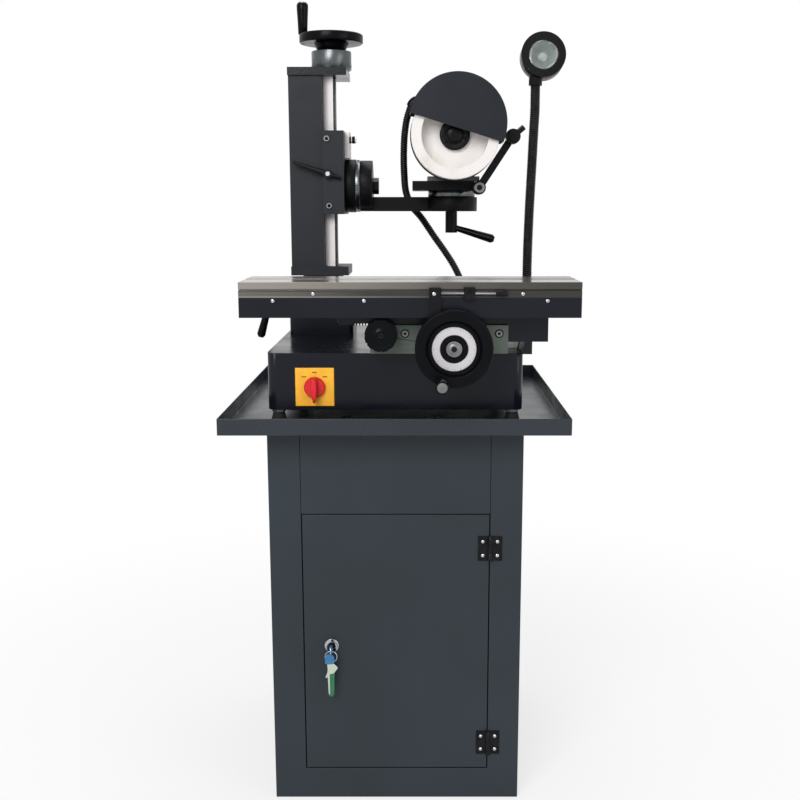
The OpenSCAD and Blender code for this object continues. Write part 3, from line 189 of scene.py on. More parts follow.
floor_half = 7.0
floor_mesh = bpy.data.meshes.new("floor")
floor_mesh.from_pydata(
    [(-floor_half, -floor_half, 0), (floor_half, -floor_half, 0),
     (floor_half, floor_half, 0), (-floor_half, floor_half, 0)], [], [(0, 1, 2, 3)])
floor = bpy.data.objects.new("floor", floor_mesh)
scene.collection.objects.link(floor)
pale_floor = Finish("pale_floor", (0.86, 0.86, 0.86), 0.9, specular=0.1)
reach = pale_floor.node("ShaderNodeVectorMath", {0: pale_floor.place}, out="Value", operation="LENGTH")
glow = pale_floor.node("ShaderNodeEmission", {"Color": (1, 1, 1, 1), "Strength": 1.0})
whiten = pale_floor.white_rays() * pale_floor.spread(reach, 0.35, 1.6, 0.7, 1.0)
shown = pale_floor.node("ShaderNodeMixShader", {
    0: whiten, 1: Field(pale_floor, pale_floor.shader.outputs[0]), 2: glow})
pale_floor.tree.links.new(shown.socket, pale_floor.tree.nodes["Material Output"].inputs["Surface"])
floor_mesh.materials.append(pale_floor.material)

# Conduit: a corrugated black plastic hose for the motor's leads. It leaves the terminal box's
# elbow behind the guard, hangs past the arm and enters the top of the base through a gland.
conduit_route = [
    (0.0248, 0.0768, 1.1960), (0.0238, 0.0775, 1.1923), (0.0202, 0.0798, 1.1820), (0.0163, 0.0820, 1.1690),
    (0.0136, 0.0840, 1.1530), (0.0118, 0.0865, 1.1350), (0.0107, 0.0920, 1.1033), (0.0115, 0.1060, 1.0704),
    (0.0145, 0.1210, 1.0401), (0.0260, 0.1350, 1.0135), (0.0440, 0.1430, 0.9920), (0.0670, 0.1470, 0.9587),
    (0.0885, 0.1490, 0.9287), (0.1070, 0.1500, 0.9000), (0.1220, 0.1500, 0.8680), (0.1320, 0.1500, 0.8351),
    (0.1360, 0.1500, 0.8119), (0.1360, 0.1500, 0.7967), (0.1360, 0.1500, 0.7815)]


def smooth_line(route, step):
    """Points every step along a smooth curve through a route's points."""
    points = [Vector(p) for p in route]
    points = [2 * points[0] - points[1]] + points + [2 * points[-1] - points[-2]]
    fine = 40
    dense = []
    for a, b, c, d in zip(points, points[1:], points[2:], points[3:]):
        for i in range(fine):
            t = i / fine
            dense.append(0.5 * (2 * b + (c - a) * t + (2 * a - 5 * b + 4 * c - d) * t * t
                                + (3 * b - a - 3 * c + d) * t ** 3))
    dense.append(points[-2])
    lengths = [0.0]
    for a, b in zip(dense, dense[1:]):
        lengths.append(lengths[-1] + (b - a).length)
    count = max(2, round(lengths[-1] / step))
    line, at = [], 0
    for i in range(count + 1):
        want = lengths[-1] * i / count
        while at < len(lengths) - 2 and lengths[at + 1] < want:
            at += 1
        gap = lengths[at + 1] - lengths[at]
        line.append(dense[at].lerp(dense[at + 1], (want - lengths[at]) / gap if gap else 0))
    return line


def loft(bm, rings):
    """Skins a row of closed rings of points and caps its two ends."""
    for a, b in zip(rings, rings[1:]):
        for k in range(len(a)):
            n = (k + 1) % len(a)
            bm.faces.new((a[k], a[n], b[n], b[k]))
    bm.faces.new(rings[0])
    bm.faces.new(rings[-1])
    return bm


def ribbed_hose(line, radius, rise, rings_per_rib, sides=20):
    """A closed corrugated tube along a line in metres, as a mesh in millimetres."""
    bm = bmesh.new()
    rings = []
    last = len(line) - 1
    for i, point in enumerate(line):
        along = (line[min(i + 1, last)] - line[max(i - 1, 0)]).normalized()
        across = along.cross(Vector((0, 1, 0))).normalized()
        up = along.cross(across)
        swell = 0.5 + 0.5 * math.cos(2 * math.pi * i / rings_per_rib)
        r = radius - rise * (1 - swell ** 0.6)
        rings.append([bm.verts.new(point * 1000 + r * (across * math.cos(a) + up * math.sin(a)))
                      for a in (2 * math.pi * k / sides for k in range(sides))])
    return loft(bm, rings)


def show(name, mesh, body, smooth=35.0):
    """Puts a finished mesh in the scene at the origin and, where a body is given, on that body."""
    mesh.polygons.foreach_set("use_smooth", [True] * len(mesh.polygons))
    mesh.set_sharp_from_angle(angle=math.radians(smooth))
    made = bpy.data.objects.new(name, mesh)
    scene.collection.objects.link(made)
    if body:
        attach(made, body)
    return made


def metre_mesh(name, bm):
    """Mesh data in metres, with seams welded and faces outwards, from a drawing in millimetres."""
    bmesh.ops.remove_doubles(bm, verts=bm.verts, dist=0.001)
    bmesh.ops.recalc_face_normals(bm, faces=bm.faces)
    bmesh.ops.transform(bm, matrix=Matrix.Scale(0.001, 4), verts=bm.verts)
    mesh = bpy.data.meshes.new(name)
    bm.to_mesh(mesh)
    bm.free()
    return mesh


def piece(name, bm, finish, body, smooth=35.0):
    """A piece from a mesh that is drawn in millimetres."""
    mesh = metre_mesh(name, bm)
    mesh.materials.append(finish.material)
    return show(name, mesh, body, smooth)


hose_black = Finish("hose_black", (0.008, 0.008, 0.009), 0.4, specular=0.16)
dust = hose_black.spread(hose_black.noise(90), 0.35, 0.75)
hose_black.feed("Roughness", dust * 0.25 + 0.3)
hose_black.shade(dust, 0.8, 2.1)

conduit_radius, conduit_rise, conduit_rib, rings_per_rib = 6.75, 1.2, 0.0042, 6
conduit_line = smooth_line(conduit_route, conduit_rib / rings_per_rib)


def ring_near(point):
    """The crest of a rib that is nearest to a point of the route."""
    return min(range(0, len(conduit_line), rings_per_rib), key=lambda i: (conduit_line[i] - point).length)


box_end, swivel_bend, arm_bend, slide_bend, base_end = (Vector(conduit_route[k]) for k in (1, 6, 9, 11, -3))
swivel_rib, slide_rib, last_ring = ring_near(swivel_bend), ring_near(slide_bend), len(conduit_line) - 1
for name, first, last, low_body, high_body, low_end, high_end in (
        ("conduit_at_motor", 0, swivel_rib, "arm", "head", swivel_bend, box_end),
        ("conduit_at_arm", swivel_rib, slide_rib, "slide", "arm", slide_bend, arm_bend),
        ("conduit_at_base", slide_rib, last_ring, "stand", "slide", base_end, slide_bend)):
    stretch_line = conduit_line[first:last + 1]
    stretch = piece(name, ribbed_hose(stretch_line, conduit_radius, conduit_rise, rings_per_rib), hose_black,
                    None, 60)
    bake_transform(stretch)
    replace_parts(stretch, "conduit")
    stretch_length = sum((b - a).length for a, b in zip(stretch_line, stretch_line[1:]))

# Gooseneck: a coated spring-steel flexible tube, screwed into a boss on the saddle and into
# the socket of the lamp head.
neck_route = [
    (0.2230, -0.092, 0.8585), (0.2230, -0.092, 0.8760), (0.2230, -0.092, 0.9165), (0.2235, -0.092, 0.9565),
    (0.2245, -0.092, 0.9965), (0.2260, -0.092, 1.0395), (0.2278, -0.092, 1.0845), (0.2294, -0.092, 1.1295),
    (0.2310, -0.092, 1.1695), (0.2310, -0.092, 1.1895), (0.2310, -0.092, 1.2100)]
neck_radius, neck_rise, neck_rib = 8.25, 1.1, 0.0034
neck_line = smooth_line(neck_route, neck_rib / rings_per_rib)
gooseneck = piece("lamp_gooseneck", ribbed_hose(neck_line, neck_radius, neck_rise, rings_per_rib), hose_black,
                  "cross_slide", 60)
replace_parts(gooseneck, "lamp_neck")

# Black moulded plastic: handwheels, revolving handles, clamp levers, knob, terminal box and
# the two hose glands, with the fine grain of the mould.
black_moulded = Finish("black_moulded", (0.0030, 0.0033, 0.0046), 0.26, specular=0.07)
handled = black_moulded.spread(black_moulded.noise(25), 0.3, 0.7)
black_moulded.feed("Roughness", handled * 0.14 + 0.16)
black_moulded.shade(handled, 1.2, 0.8)
black_moulded.bump(black_moulded.noise(900, 2), 0.08, 0.0003)


def lathe(bm, profile, centre, axis, sides=48):
    """Turns (along, radius) points about an axis through a centre; zero radii close the ends."""
    axis = Vector(axis).normalized()
    across = axis.orthogonal().normalized()
    up = axis.cross(across)
    rings = []
    for along, r in profile:
        middle = Vector(centre) + axis * along
        count = sides if r > 0 else 1
        rings.append([bm.verts.new(middle + r * (across * math.cos(a) + up * math.sin(a)))
                      for a in (2 * math.pi * (k + 0.5) / sides for k in range(count))])
    for a, b in zip(rings, rings[1:]):
        for k in range(sides):
            n = (k + 1) % sides
            corners = [a[k % len(a)], a[n % len(a)], b[n % len(b)], b[k % len(b)]]
            corners = [v for i, v in enumerate(corners) if v not in corners[:i]]
            if len(corners) > 2:
                bm.faces.new(corners)
    return bm


def dress(finish, *names, bevel=0.0, segments=2):
    """Gives CAD nodes a finish and, where asked, softly broken edges."""
    for name in names:
        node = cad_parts[name]
        node.data.materials.clear()
        node.data.materials.append(finish.material)
        if bevel:
            weld = node.modifiers.new("weld", "WELD")
            weld.merge_threshold = 0.00002
            broken = node.modifiers.new("edge", "BEVEL")
            broken.width = bevel
            broken.segments = segments
            broken.limit_method = "ANGLE"
            broken.angle_limit = math.radians(40)
            broken.harden_normals = True


def gland(name, centre, axis, body):
    """A hexagon gland nut with a round collar where a hose goes into a box."""
    bm = lathe(bmesh.new(), [(0, 0), (0, 10.2), (0.8, 10.8), (5.2, 10.8), (6, 10.2), (6, 0)], centre, axis, 6)
    lathe(bm, [(5.5, 0), (5.5, 9), (9, 8.6), (10, 7.6), (10, 0)], centre, axis, 32)
    return piece(name, bm, black_moulded, body, 30)


dress(black_moulded, "column_lever", "head_lever", "traverse_knob")
dress(black_moulded, "lift_wheel", "feed_wheel", bevel=0.0008)
dress(black_moulded, "terminal_box", bevel=0.0015)
box_outlet = Vector((44, 77, 1203.3))
gland("terminal_gland", box_outlet, (-1, 0, 0), "head")
elbow_root, elbow_straight, elbow_bend, elbow_radius = 2.0, 6.5, 14.0, 7.9
elbow_turn, elbow_steps = math.radians(75), 10
elbow_line = [box_outlet - Vector((elbow_root, 0, 0))]
for k in range(elbow_steps + 1):
    turn = elbow_turn * k / elbow_steps
    elbow_line.append(box_outlet - Vector((
        elbow_straight + elbow_bend * math.sin(turn), 0, elbow_bend * (1 - math.cos(turn)))))
piece("terminal_elbow", ribbed_hose([p / 1000 for p in elbow_line], elbow_radius, 0, rings_per_rib),
      black_moulded, "head", 40)
upright = (0, 0, 1)
gland("base_gland", (136, 150, 781.5), upright, "stand")

# Cabinet: folded and welded sheet with a satin blue-grey stoving enamel, also on the door,
# the upper panel and the drip tray, with the faint orange peel of a sprayed coat.


def sprayed_paint(name, colour, rough, peel_scale, peel, specular=0.25):
    """A sprayed coat with orange peel, faint clouding and a few dusty patches."""
    finish = Finish(name, colour, rough, specular=specular)
    finish.shade(finish.spread(finish.noise(3.5, 4), 0.3, 0.7), 0.88, 1.12)
    finish.feed("Roughness", finish.spread(finish.noise(14, 5), 0.3, 0.75) * 0.12 + (rough - 0.05))
    finish.bump(finish.noise(peel_scale, 2), peel, 0.0006)
    return finish


slate_paint = sprayed_paint("slate_paint", (0.022, 0.030, 0.037), 0.36, 420, 0.10)
dress(slate_paint, "cabinet_shell", "front_panel", "cabinet_door", bevel=0.0009)
tray_paint = sprayed_paint("tray_paint", (0.021, 0.027, 0.035), 0.3, 420, 0.08, 0.3)
dress(tray_paint, "drip_tray", bevel=0.0009)

# Hinges: black pressed-steel butt hinges with bright pins. One leaf is on the cabinet's frame
# and one on the door, each held by two bright pan-head screws.
black_oxide = Finish("black_oxide", (0.006, 0.006, 0.0072), 0.34, 0.12, specular=0.14)
oiled = black_oxide.spread(black_oxide.noise(60, 4), 0.35, 0.7)
black_oxide.feed("Roughness", oiled * 0.2 + 0.26)
black_oxide.shade(oiled, 0.75, 1.8)
dress(black_oxide, "frame_hinges", "door_hinges", bevel=0.0005, segments=1)


def ground_metal(name, colour, rough, stretch, streak=0.16, metal=1.0):
    """Ground or turned steel with fine streaks along one direction and a few stains."""
    finish = Finish(name, colour, rough, metal)
    lines = finish.noise(1.0, 4, stretch)
    stain = finish.spread(finish.noise(9, 5), 0.42, 0.8)
    finish.feed("Roughness", lines * streak + stain * 0.12 + (rough - streak / 2))
    finish.shade(stain, 1.0, 0.78)
    finish.bump(lines, 0.05, 0.0002)
    return finish


bright_steel = ground_metal("bright_steel", (0.50, 0.50, 0.51), 0.28, (300, 300, 300), 0.1)
dress(bright_steel, "hinge_pins", bevel=0.0003, segments=1)


def repeat_tree(name, inputs, output):
    """An empty geometry node tree with named inputs and one geometry output."""
    tree = bpy.data.node_groups.new(name, "GeometryNodeTree")
    for socket, kind in inputs:
        tree.interface.new_socket(socket, in_out="INPUT", socket_type="NodeSocket" + kind)
    tree.interface.new_socket(output, in_out="OUTPUT", socket_type="NodeSocketGeometry")
    return tree, tree.nodes.new("NodeGroupInput"), tree.nodes.new("NodeGroupOutput")


def screw_tree():
    """Node tree that sets one screw head on every point of a mesh."""
    tree, start, end = repeat_tree(
        "screws_on_points", (("Points", "Geometry"), ("Head", "Object"), ("Metal", "Material")), "Screws")
    head = tree.nodes.new("GeometryNodeObjectInfo")
    place = tree.nodes.new("GeometryNodeInstanceOnPoints")
    real = tree.nodes.new("GeometryNodeRealizeInstances")
    metal = tree.nodes.new("GeometryNodeSetMaterial")
    link = tree.links.new
    link(start.outputs["Head"], head.inputs["Object"])
    link(start.outputs["Points"], place.inputs["Points"])
    link(head.outputs["Geometry"], place.inputs["Instance"])
    link(place.outputs["Instances"], real.inputs["Geometry"])
    link(real.outputs["Geometry"], metal.inputs["Geometry"])
    link(start.outputs["Metal"], metal.inputs["Material"])
    link(metal.outputs["Geometry"], end.inputs["Screws"])
    return tree


def evaluated(name, tree, mesh, values):
    """Runs a node tree on a mesh with named inputs and gives back a plain mesh."""
    holder = bpy.data.objects.new(name + "_points", mesh)
    scene.collection.objects.link(holder)
    modifier = holder.modifiers.new("repeat", "NODES")
    modifier.node_group = tree
    for item in tree.interface.items_tree:
        if item.in_out == "INPUT" and item.name in values:
            modifier[item.identifier] = values[item.name]
    plain = bpy.data.meshes.new_from_object(
        holder.evaluated_get(bpy.context.evaluated_depsgraph_get()))
    plain.name = name
    holder.modifiers.clear()
    bpy.data.objects.remove(holder)
    return plain


def screws(name, points, axis, profile, finish, body, sides=20, socket=0.0):
    """Screw heads at points in millimetres, facing along an axis; a socket is a round hole of that radius."""
    bm = bmesh.new()
    if socket:
        top = profile[-2]
        lathe(bm, profile[:-1], (0, 0, 0), axis, 24)
        lathe(bm, [top, (top[0], socket), (top[0] * 0.3, socket), (top[0] * 0.3, 0)], (0, 0, 0), axis, 24)
    else:
        lathe(bm, profile, (0, 0, 0), axis, sides)
    head = bpy.data.objects.new(name + "_head", metre_mesh(name + "_head", bm))
    scene.collection.objects.link(head)
    spots = bpy.data.meshes.new(name + "_spots")
    spots.from_pydata([Vector(p) / 1000 for p in points], [], [])
    mesh = evaluated(name, screw_layout, spots, {"Head": head, "Metal": finish.material})
    bpy.data.objects.remove(head)
    return show(name, mesh, body)


screw_layout = screw_tree()
to_front = (0, -1, 0)
hinge_x, hinge_face, hinge_spread = 157.0, -219.5, 12
hinge_heights = (453.5, 104.0)
pan_head = [(-0.4, 0), (-0.4, 3.1), (0.5, 3.0), (1.3, 2.2), (1.6, 1.0), (1.2, 0.9), (1.1, 0)]
for side, body in ((1, "stand"), (-1, "door")):
    screws(f"hinge_screws_{body}",
           [(hinge_x + side * hinge_spread, hinge_face, z + dz)
            for z in hinge_heights for dz in (-hinge_spread, hinge_spread)],
           to_front, pan_head, bright_steel, body)

# Lock and keys: a chromed cam lock with its key in it. The key has a blue moulded bow, and
# from its ring hang a spare key and a green moulded tag.
lock_chrome = Finish("lock_chrome", (0.50, 0.50, 0.52), 0.14, 1.0)
touched = lock_chrome.noise(120)
lock_chrome.feed("Roughness", touched * 0.14 + 0.08)
lock_chrome.shade(touched)
dress(lock_chrome, "lock_body", "door_key", bevel=0.0004)
dress(black_oxide, "lock_plug", bevel=0.0004)
lock_x, lock_z, bow_y = -109.0, 282.0, -238.5


def moulded(name, colour, rough):
    """A glossy moulded plastic with a soft handled haze."""
    finish = Finish(name, colour, rough, specular=0.4)
    haze = finish.spread(finish.noise(70, 4), 0.3, 0.7)
    finish.feed("Roughness", haze * 0.2 + (rough - 0.08))
    finish.shade(haze)
    return finish


def rounded_ring(bm, centre, axis, inner, outer, thick, sides=36):
    """A flat ring with rounded rims, closed on itself."""
    half, edge = thick / 2, min(thick / 3, 0.8)
    return lathe(bm, [(-half, inner + edge), (-half, outer - edge), (-half + edge, outer),
                      (half - edge, outer), (half, outer - edge), (half, inner + edge), (half - edge, inner),
                      (-half + edge, inner), (-half, inner + edge)], centre, axis, sides)


def slab(bm, low, high, edge):
    """A box between two corners with bevelled edges."""
    made = bmesh.ops.create_cube(bm, size=1.0)["verts"]
    low, high = Vector(low), Vector(high)
    bmesh.ops.transform(bm, matrix=Matrix.Translation((low + high) / 2) @ Matrix.Diagonal((*(high - low), 1)),
                        verts=made)
    edges = list({e for v in made for e in v.link_edges})
    bmesh.ops.bevel(bm, geom=edges, offset=edge, segments=2, profile=0.5, affect="EDGES")
    return bm


def plate(bm, outline, front, thick, edge):
    """A flat outline of (x, z) points made into a thin plate that faces the front, with a small chamfer."""
    middle = Vector([sum(c) / len(outline) for c in zip(*outline)])
    rows = []
    for depth, inset in ((0, edge), (edge, 0), (thick - edge, 0), (thick, edge)):
        row = []
        for x, z in outline:
            spoke = Vector((x, z)) - middle
            spot = middle + spoke * (1 - inset / spoke.length)
            row.append(bm.verts.new((spot.x, front + depth, spot.y)))
        rows.append(row)
    return loft(bm, rows)


key_blue = moulded("key_blue", (0.035, 0.17, 0.36), 0.35)
piece("key_bow", rounded_ring(bmesh.new(), (lock_x, bow_y, lock_z), (1, 0, 0), 3.1, 8.0, 4.2), key_blue,
      "lock")
ring_r, ring_wire, ring_z = 10.0, 0.9, 270.2
to_back = (0, 1, 0)
wire = bmesh.new()
steps = [2 * math.pi * k / 12 for k in range(13)]
lathe(wire, [(ring_wire * math.sin(a), ring_r + ring_wire * math.cos(a)) for a in steps],
      (lock_x, bow_y, ring_z), to_back)
piece("key_ring", wire, lock_chrome, "keys")
spare_outline = [(lock_x + x, z) for x, z in (
    (-10, 259.5), (-10, 271.5), (-7.5, 275.5), (1, 275.5), (5, 272.5), (6.5, 262.5), (3, 258.5), (-6, 258))]
piece("spare_bow", plate(bmesh.new(), spare_outline, bow_y - 4.2, 2.8, 0.7), key_blue, "keys")
pale_key = ground_metal("pale_key", (0.60, 0.66, 0.55), 0.3, (300, 300, 300), 0.1)
key_outline = [(lock_x + x, z) for x, z in (
    (-7, 260), (2, 260.5), (10.5, 252), (10.8, 249.5), (4.5, 241), (-3, 239), (-8, 232), (-10, 234),
    (-7, 241), (-6, 248))]
piece("spare_key", plate(bmesh.new(), key_outline, bow_y - 1.2, 1.5, 0.3), pale_key, "keys")
tag_green = moulded("tag_green", (0.022, 0.16, 0.075), 0.35)
tag_outline = [(lock_x + x, z) for x, z in (
    (-6.5, 250), (6, 250), (5.2, 228), (4.4, 203), (2, 198.4), (-3, 198.4), (-4.6, 203), (-6, 228))]
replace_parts(piece("key_tag", plate(bmesh.new(), tag_outline, bow_y + 0.4, 1.6, 0.4), tag_green, "keys"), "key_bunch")
blade_outline = [(lock_x + x, z) for x, z in (
    (-6.2, 240), (-2.6, 240), (-2.6, 205), (-3.6, 201), (-4.8, 205))]
piece("tag_edge", plate(bmesh.new(), blade_outline, bow_y - 0.5, 0.8, 0.2), pale_key, "keys")

# Base: a black enamelled box on conical rubber feet, each with a levelling nut, with two ground
# cross ways on its top. The castings that stand on it have the same thick gloss paint.
black_enamel = sprayed_paint("black_enamel", (0.0055, 0.0065, 0.0115), 0.24, 160, 0.14, 0.2)
dress(black_enamel, "base_box", "column_pedestal", "column_cap", "saddle", "table_bed", bevel=0.0012)
dress(ground_metal("cross_steel", (0.5, 0.5, 0.5), 0.34, (900, 12, 900)), "cross_ways", bevel=0.0006)
foot_rubber = Finish("foot_rubber", (0.010, 0.010, 0.010), 0.75, specular=0.2)
foot_rubber.bump(foot_rubber.noise(700), 0.1, 0.0003)
scuffed = foot_rubber.noise(45)
foot_rubber.feed("Roughness", scuffed * 0.3 + 0.55)
foot_rubber.shade(scuffed, 0.8, 1.4)
dress(foot_rubber, "base_feet")
foot_spots = [(sx * 191, -13.5 + sy * 187.5, 688.5) for sx in (-1, 1) for sy in (-1, 1)]
screws("levelling_nuts", foot_spots, (0, 0, -1),
       [(-0.05, 0), (-0.05, 10.6), (0.6, 11.2), (4.4, 11.2), (5, 10.6), (5, 0)], bright_steel, "stand",
       sides=6)

# Main switch: a moulded yellow plate screwed to the base's front, with three small printed
# marks, and a red moulded pointer knob pushed on the switch's spindle.
switch_yellow = moulded("switch_yellow", (1.0, 0.50, 0.032), 0.42)
dress(switch_yellow, "switch_plate", bevel=0.0014, segments=3)
switch_x, switch_z, switch_face = -130.0, 726.5, -220.0
printed_black = Finish("printed_black", (0.02, 0.02, 0.02), 0.6, specular=0.2)
ink = printed_black.noise(300)
printed_black.feed("Roughness", ink * 0.3 + 0.45)
printed_black.shade(ink, 0.8, 1.3)
marks, marks_radius, mark_step = bmesh.new(), 24, 2.4
for turn in (-45, 0, 45):
    x = switch_x + marks_radius * math.sin(math.radians(turn))
    z = switch_z + marks_radius * math.cos(math.radians(turn))
    for step in (-mark_step, 0, mark_step):
        slab(marks, (x + step - 0.8, switch_face - 0.25, z - 1.1),
             (x + step + 0.8, switch_face + 0.2, z + 1.1), 0.08)
piece("switch_marks", marks, printed_black, "stand")
switch_red = moulded("switch_red", (0.72, 0.010, 0.022), 0.3)
switch_centre = (switch_x, switch_face, switch_z)
knob = lathe(bmesh.new(), [(0.3, 0), (0.3, 16.4), (1.2, 17), (5.6, 17), (7.3, 15.6), (7.3, 0)],
             switch_centre, to_front)
outline = [(-1.4, 17.4), (-4.4, 14), (-5.8, 6), (-5.8, -6), (-3.6, -17), (-1.4, -24.4), (0, -25.2),
           (1.4, -24.4), (3.6, -17), (5.8, -6), (5.8, 6), (4.4, 14), (1.4, 17.4)]
rows = []
for depth, share in ((7.0, 1.0), (18.0, 0.9), (20.5, 0.78), (21.3, 0.6)):
    rows.append([knob.verts.new((switch_x + x * share, switch_face - depth, switch_z + z * (0.5 + share / 2)))
                 for x, z in outline])
loft(knob, rows)
lathe(knob, [(-15, 0), (-15, 2.9), (1, 2.9), (1, 0)], switch_centre, to_front, 24)
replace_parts(piece("switch_pointer", knob, switch_red, "switch", 40), "switch_knob")

# Column: a painted box post with a dovetail way on its right, whose flanks are ground bright and whose outer face
# is drawn dark and rough as painted shade, a lift screw in the way's groove and a cap plate on top.
way_steel = Finish("way_steel", (0.95, 0.91, 0.91), 0.40, 0.05)
upright_streaks = (900, 900, 10)
ground_lines = way_steel.noise(1.0, 4, upright_streaks)
way_edge = -0.1156
# painted shade: the way's outer face on its right is drawn dark and rougher
painted_shade_face = way_steel.spread(way_steel.coordinate("X"), way_edge, way_edge + 0.0004)
way_steel.feed("Base Color", way_steel.mix(painted_shade_face, way_steel.colour, (0.016, 0.016, 0.018)))
way_steel.feed("Roughness", painted_shade_face * 0.5 + ground_lines * 0.16 + 0.32)
way_steel.bump(ground_lines, 0.05, 0.0002)
dress(way_steel, "column_way", bevel=0.0005)
index_steel = ground_metal("index_steel", way_steel.colour, 0.40, upright_streaks, metal=0.05)
dress(index_steel, "index_plate", bevel=0.0005)
column_paint = sprayed_paint("column_paint", (0.019, 0.0212, 0.0255), 0.46, 200, 0.16, 0.17)
dress(column_paint, "column_post", "carriage", bevel=0.0014)
thread_steel = ground_metal("thread_steel", (0.20, 0.20, 0.20), 0.35, (300, 300, 900))


def threaded(bm, centre, axis, length, radius, pitch, depth, sides=24):
    """A screw drawn as V grooves at its pitch, with plain ends."""
    profile = [(0, 0), (0, radius - 0.5)]
    for i in range(int((length - 8) / pitch)):
        profile += [(4 + i * pitch, radius), (4 + (i + 0.5) * pitch, radius - depth)]
    profile += [(length - 4, radius), (length - 0.5, radius), (length, radius - 0.5), (length, 0)]
    return lathe(bm, profile, centre, axis, sides)


lift_x, column_y = -120.0, 92.0
lift_thread = threaded(bmesh.new(), (lift_x, column_y, 895.5), upright, 416.3, 8, 3, 0.9)
lift_screw = piece("lift_thread", lift_thread, thread_steel, "lift_drive", 25)
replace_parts(lift_screw, "lift_screw")

# Lift drive: a turned and graduated steel dial under a dished black handwheel, whose
# revolving handle has a steel axle screw in its end.
dial_steel = ground_metal("dial_steel", (0.12, 0.13, 0.135), 0.22, (60, 60, 900), 0.14)
dress(dial_steel, "lift_dial", bevel=0.0006)


def mark_tree():
    """Node tree that sets small bars round a circle about Z."""
    tree, start, end = repeat_tree("marks_on_circle", (
        ("Base", "Geometry"), ("Count", "Int"), ("Radius", "Float"), ("Bar", "Vector"),
        ("Ink", "Material")), "Marks")
    circle = tree.nodes.new("GeometryNodeMeshCircle")
    bar = tree.nodes.new("GeometryNodeMeshCube")
    spot = tree.nodes.new("GeometryNodeInputPosition")
    turn = tree.nodes.new("FunctionNodeAlignRotationToVector")
    turn.axis = "X"
    place = tree.nodes.new("GeometryNodeInstanceOnPoints")
    real = tree.nodes.new("GeometryNodeRealizeInstances")
    ink = tree.nodes.new("GeometryNodeSetMaterial")
    link = tree.links.new
    link(start.outputs["Count"], circle.inputs["Vertices"])
    link(start.outputs["Radius"], circle.inputs["Radius"])
    link(start.outputs["Bar"], bar.inputs["Size"])
    link(spot.outputs["Position"], turn.inputs["Vector"])
    link(circle.outputs["Mesh"], place.inputs["Points"])
    link(bar.outputs["Mesh"], place.inputs["Instance"])
    link(turn.outputs["Rotation"], place.inputs["Rotation"])
    link(place.outputs["Instances"], real.inputs["Geometry"])
    link(real.outputs["Geometry"], ink.inputs["Geometry"])
    link(start.outputs["Ink"], ink.inputs["Material"])
    link(ink.outputs["Geometry"], end.inputs["Marks"])
    return tree


mark_layout = mark_tree()


def graduations(name, sets, centre, axis, finish, body):
    """Bars round an axis from sets of (count, radius, bar size, offset along the axis), in mm."""
    together = bmesh.new()
    turn = Vector(upright).rotation_difference(Vector(axis)).to_matrix().to_4x4()
    for count, radius, bar, offset in sets:
        mesh = evaluated(name, mark_layout, bpy.data.meshes.new(name + "_base"), {
            "Count": count, "Radius": radius / 1000, "Bar": [b / 1000 for b in bar], "Ink": finish.material})
        spot = Vector(centre) / 1000 + Vector(axis) * offset / 1000
        mesh.transform(Matrix.Translation(spot) @ turn)
        together.from_mesh(mesh)
        bpy.data.meshes.remove(mesh)
    mesh = bpy.data.meshes.new(name)
    together.to_mesh(mesh)
    together.free()
    mesh.materials.append(finish.material)
    return show(name, mesh, body)


graduations("lift_marks", [(60, 36, (0.3, 0.5, 5), -10), (12, 36, (0.3, 0.7, 9), -8)],
            (lift_x, column_y, 1272.8), upright, printed_black, "lift_drive")


def grip(name, base, axis, body, node):
    """A tapered revolving handle with a steel axle screw, in place of its plain solid."""
    profile = [(0, 0), (0, 7.6), (0.8, 8.3), (20, 9.0), (42, 10.2), (49, 10.5), (52.4, 9.8), (53.6, 8.6),
               (53.6, 0)]
    bm = lathe(bmesh.new(), profile, base, axis, 40)
    lathe(bm, [(-8, 0), (-8, 4), (0.5, 4), (0.5, 0)], base, axis, 24)
    made = piece(name, bm, black_moulded, body, 40)
    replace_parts(made, node)
    screw = [(52.4, 0), (52.4, 8.0), (54.6, 7.8), (55.6, 6.8), (55.9, 4.6), (55.9, 2.6), (54.6, 2.4),
             (54.6, 0)]
    piece(name + "_axle", lathe(bmesh.new(), screw, base, axis, 24), thread_steel, body)


grip("lift_grip_handle", (lift_x - 51, column_y, 1319.1), upright, "lift_grip", "lift_handle")
hub_nut = lathe(bmesh.new(), [(-1, 0), (-1, 10), (5, 10), (6, 9), (6, 0)], (lift_x, column_y, 1307.8),
                upright, 6)
piece("lift_hub_nut", hub_nut, bright_steel, "lift_drive")

# Carriage: a black dovetail slide with gib screws and a clamp lever in its front face, an
# index plate with its plunger, and the graduated tilt joint that carries the arm.
satin_black = sprayed_paint("satin_black", (0.0045, 0.0045, 0.0056), 0.42, 220, 0.16, 0.09)
dress(satin_black, "tilt_arm", "tilt_plate", bevel=0.0014)
dress(dial_steel, "tilt_ring", "swivel_collar", bevel=0.0006)
dress(black_oxide, "tilt_bolt", "slide_lever", bevel=0.0005, segments=1)
plunger = lathe(bmesh.new(), [(-0.4, 0), (-0.4, 6.3), (3, 6.3), (4, 5.2), (5, 6.2), (9, 6.6), (11.4, 5.4),
                              (12.2, 3), (12.2, 0)], (-88, 77, 1133), (1, 0, 0), 32)
piece("index_plunger", plunger, black_moulded, "slide", 40)
gib_head = [(-0.3, 0), (-0.3, 5.0), (0.4, 5.4), (3.4, 5.4), (4, 4.8), (4, 0)]
gib_spots = [(-126, 32, 1132.7), (-123, 32, 1015)]
screws("gib_screws", gib_spots, to_front, gib_head, thread_steel, "slide", socket=2.9)
# painted shade: black hexagons laid over the gib screws' sockets
screws("gib_sockets", gib_spots, to_front, [(0.8, 0), (0.8, 3.6), (4.1, 3.4), (4.1, 0)], black_moulded,
       "slide", sides=6)
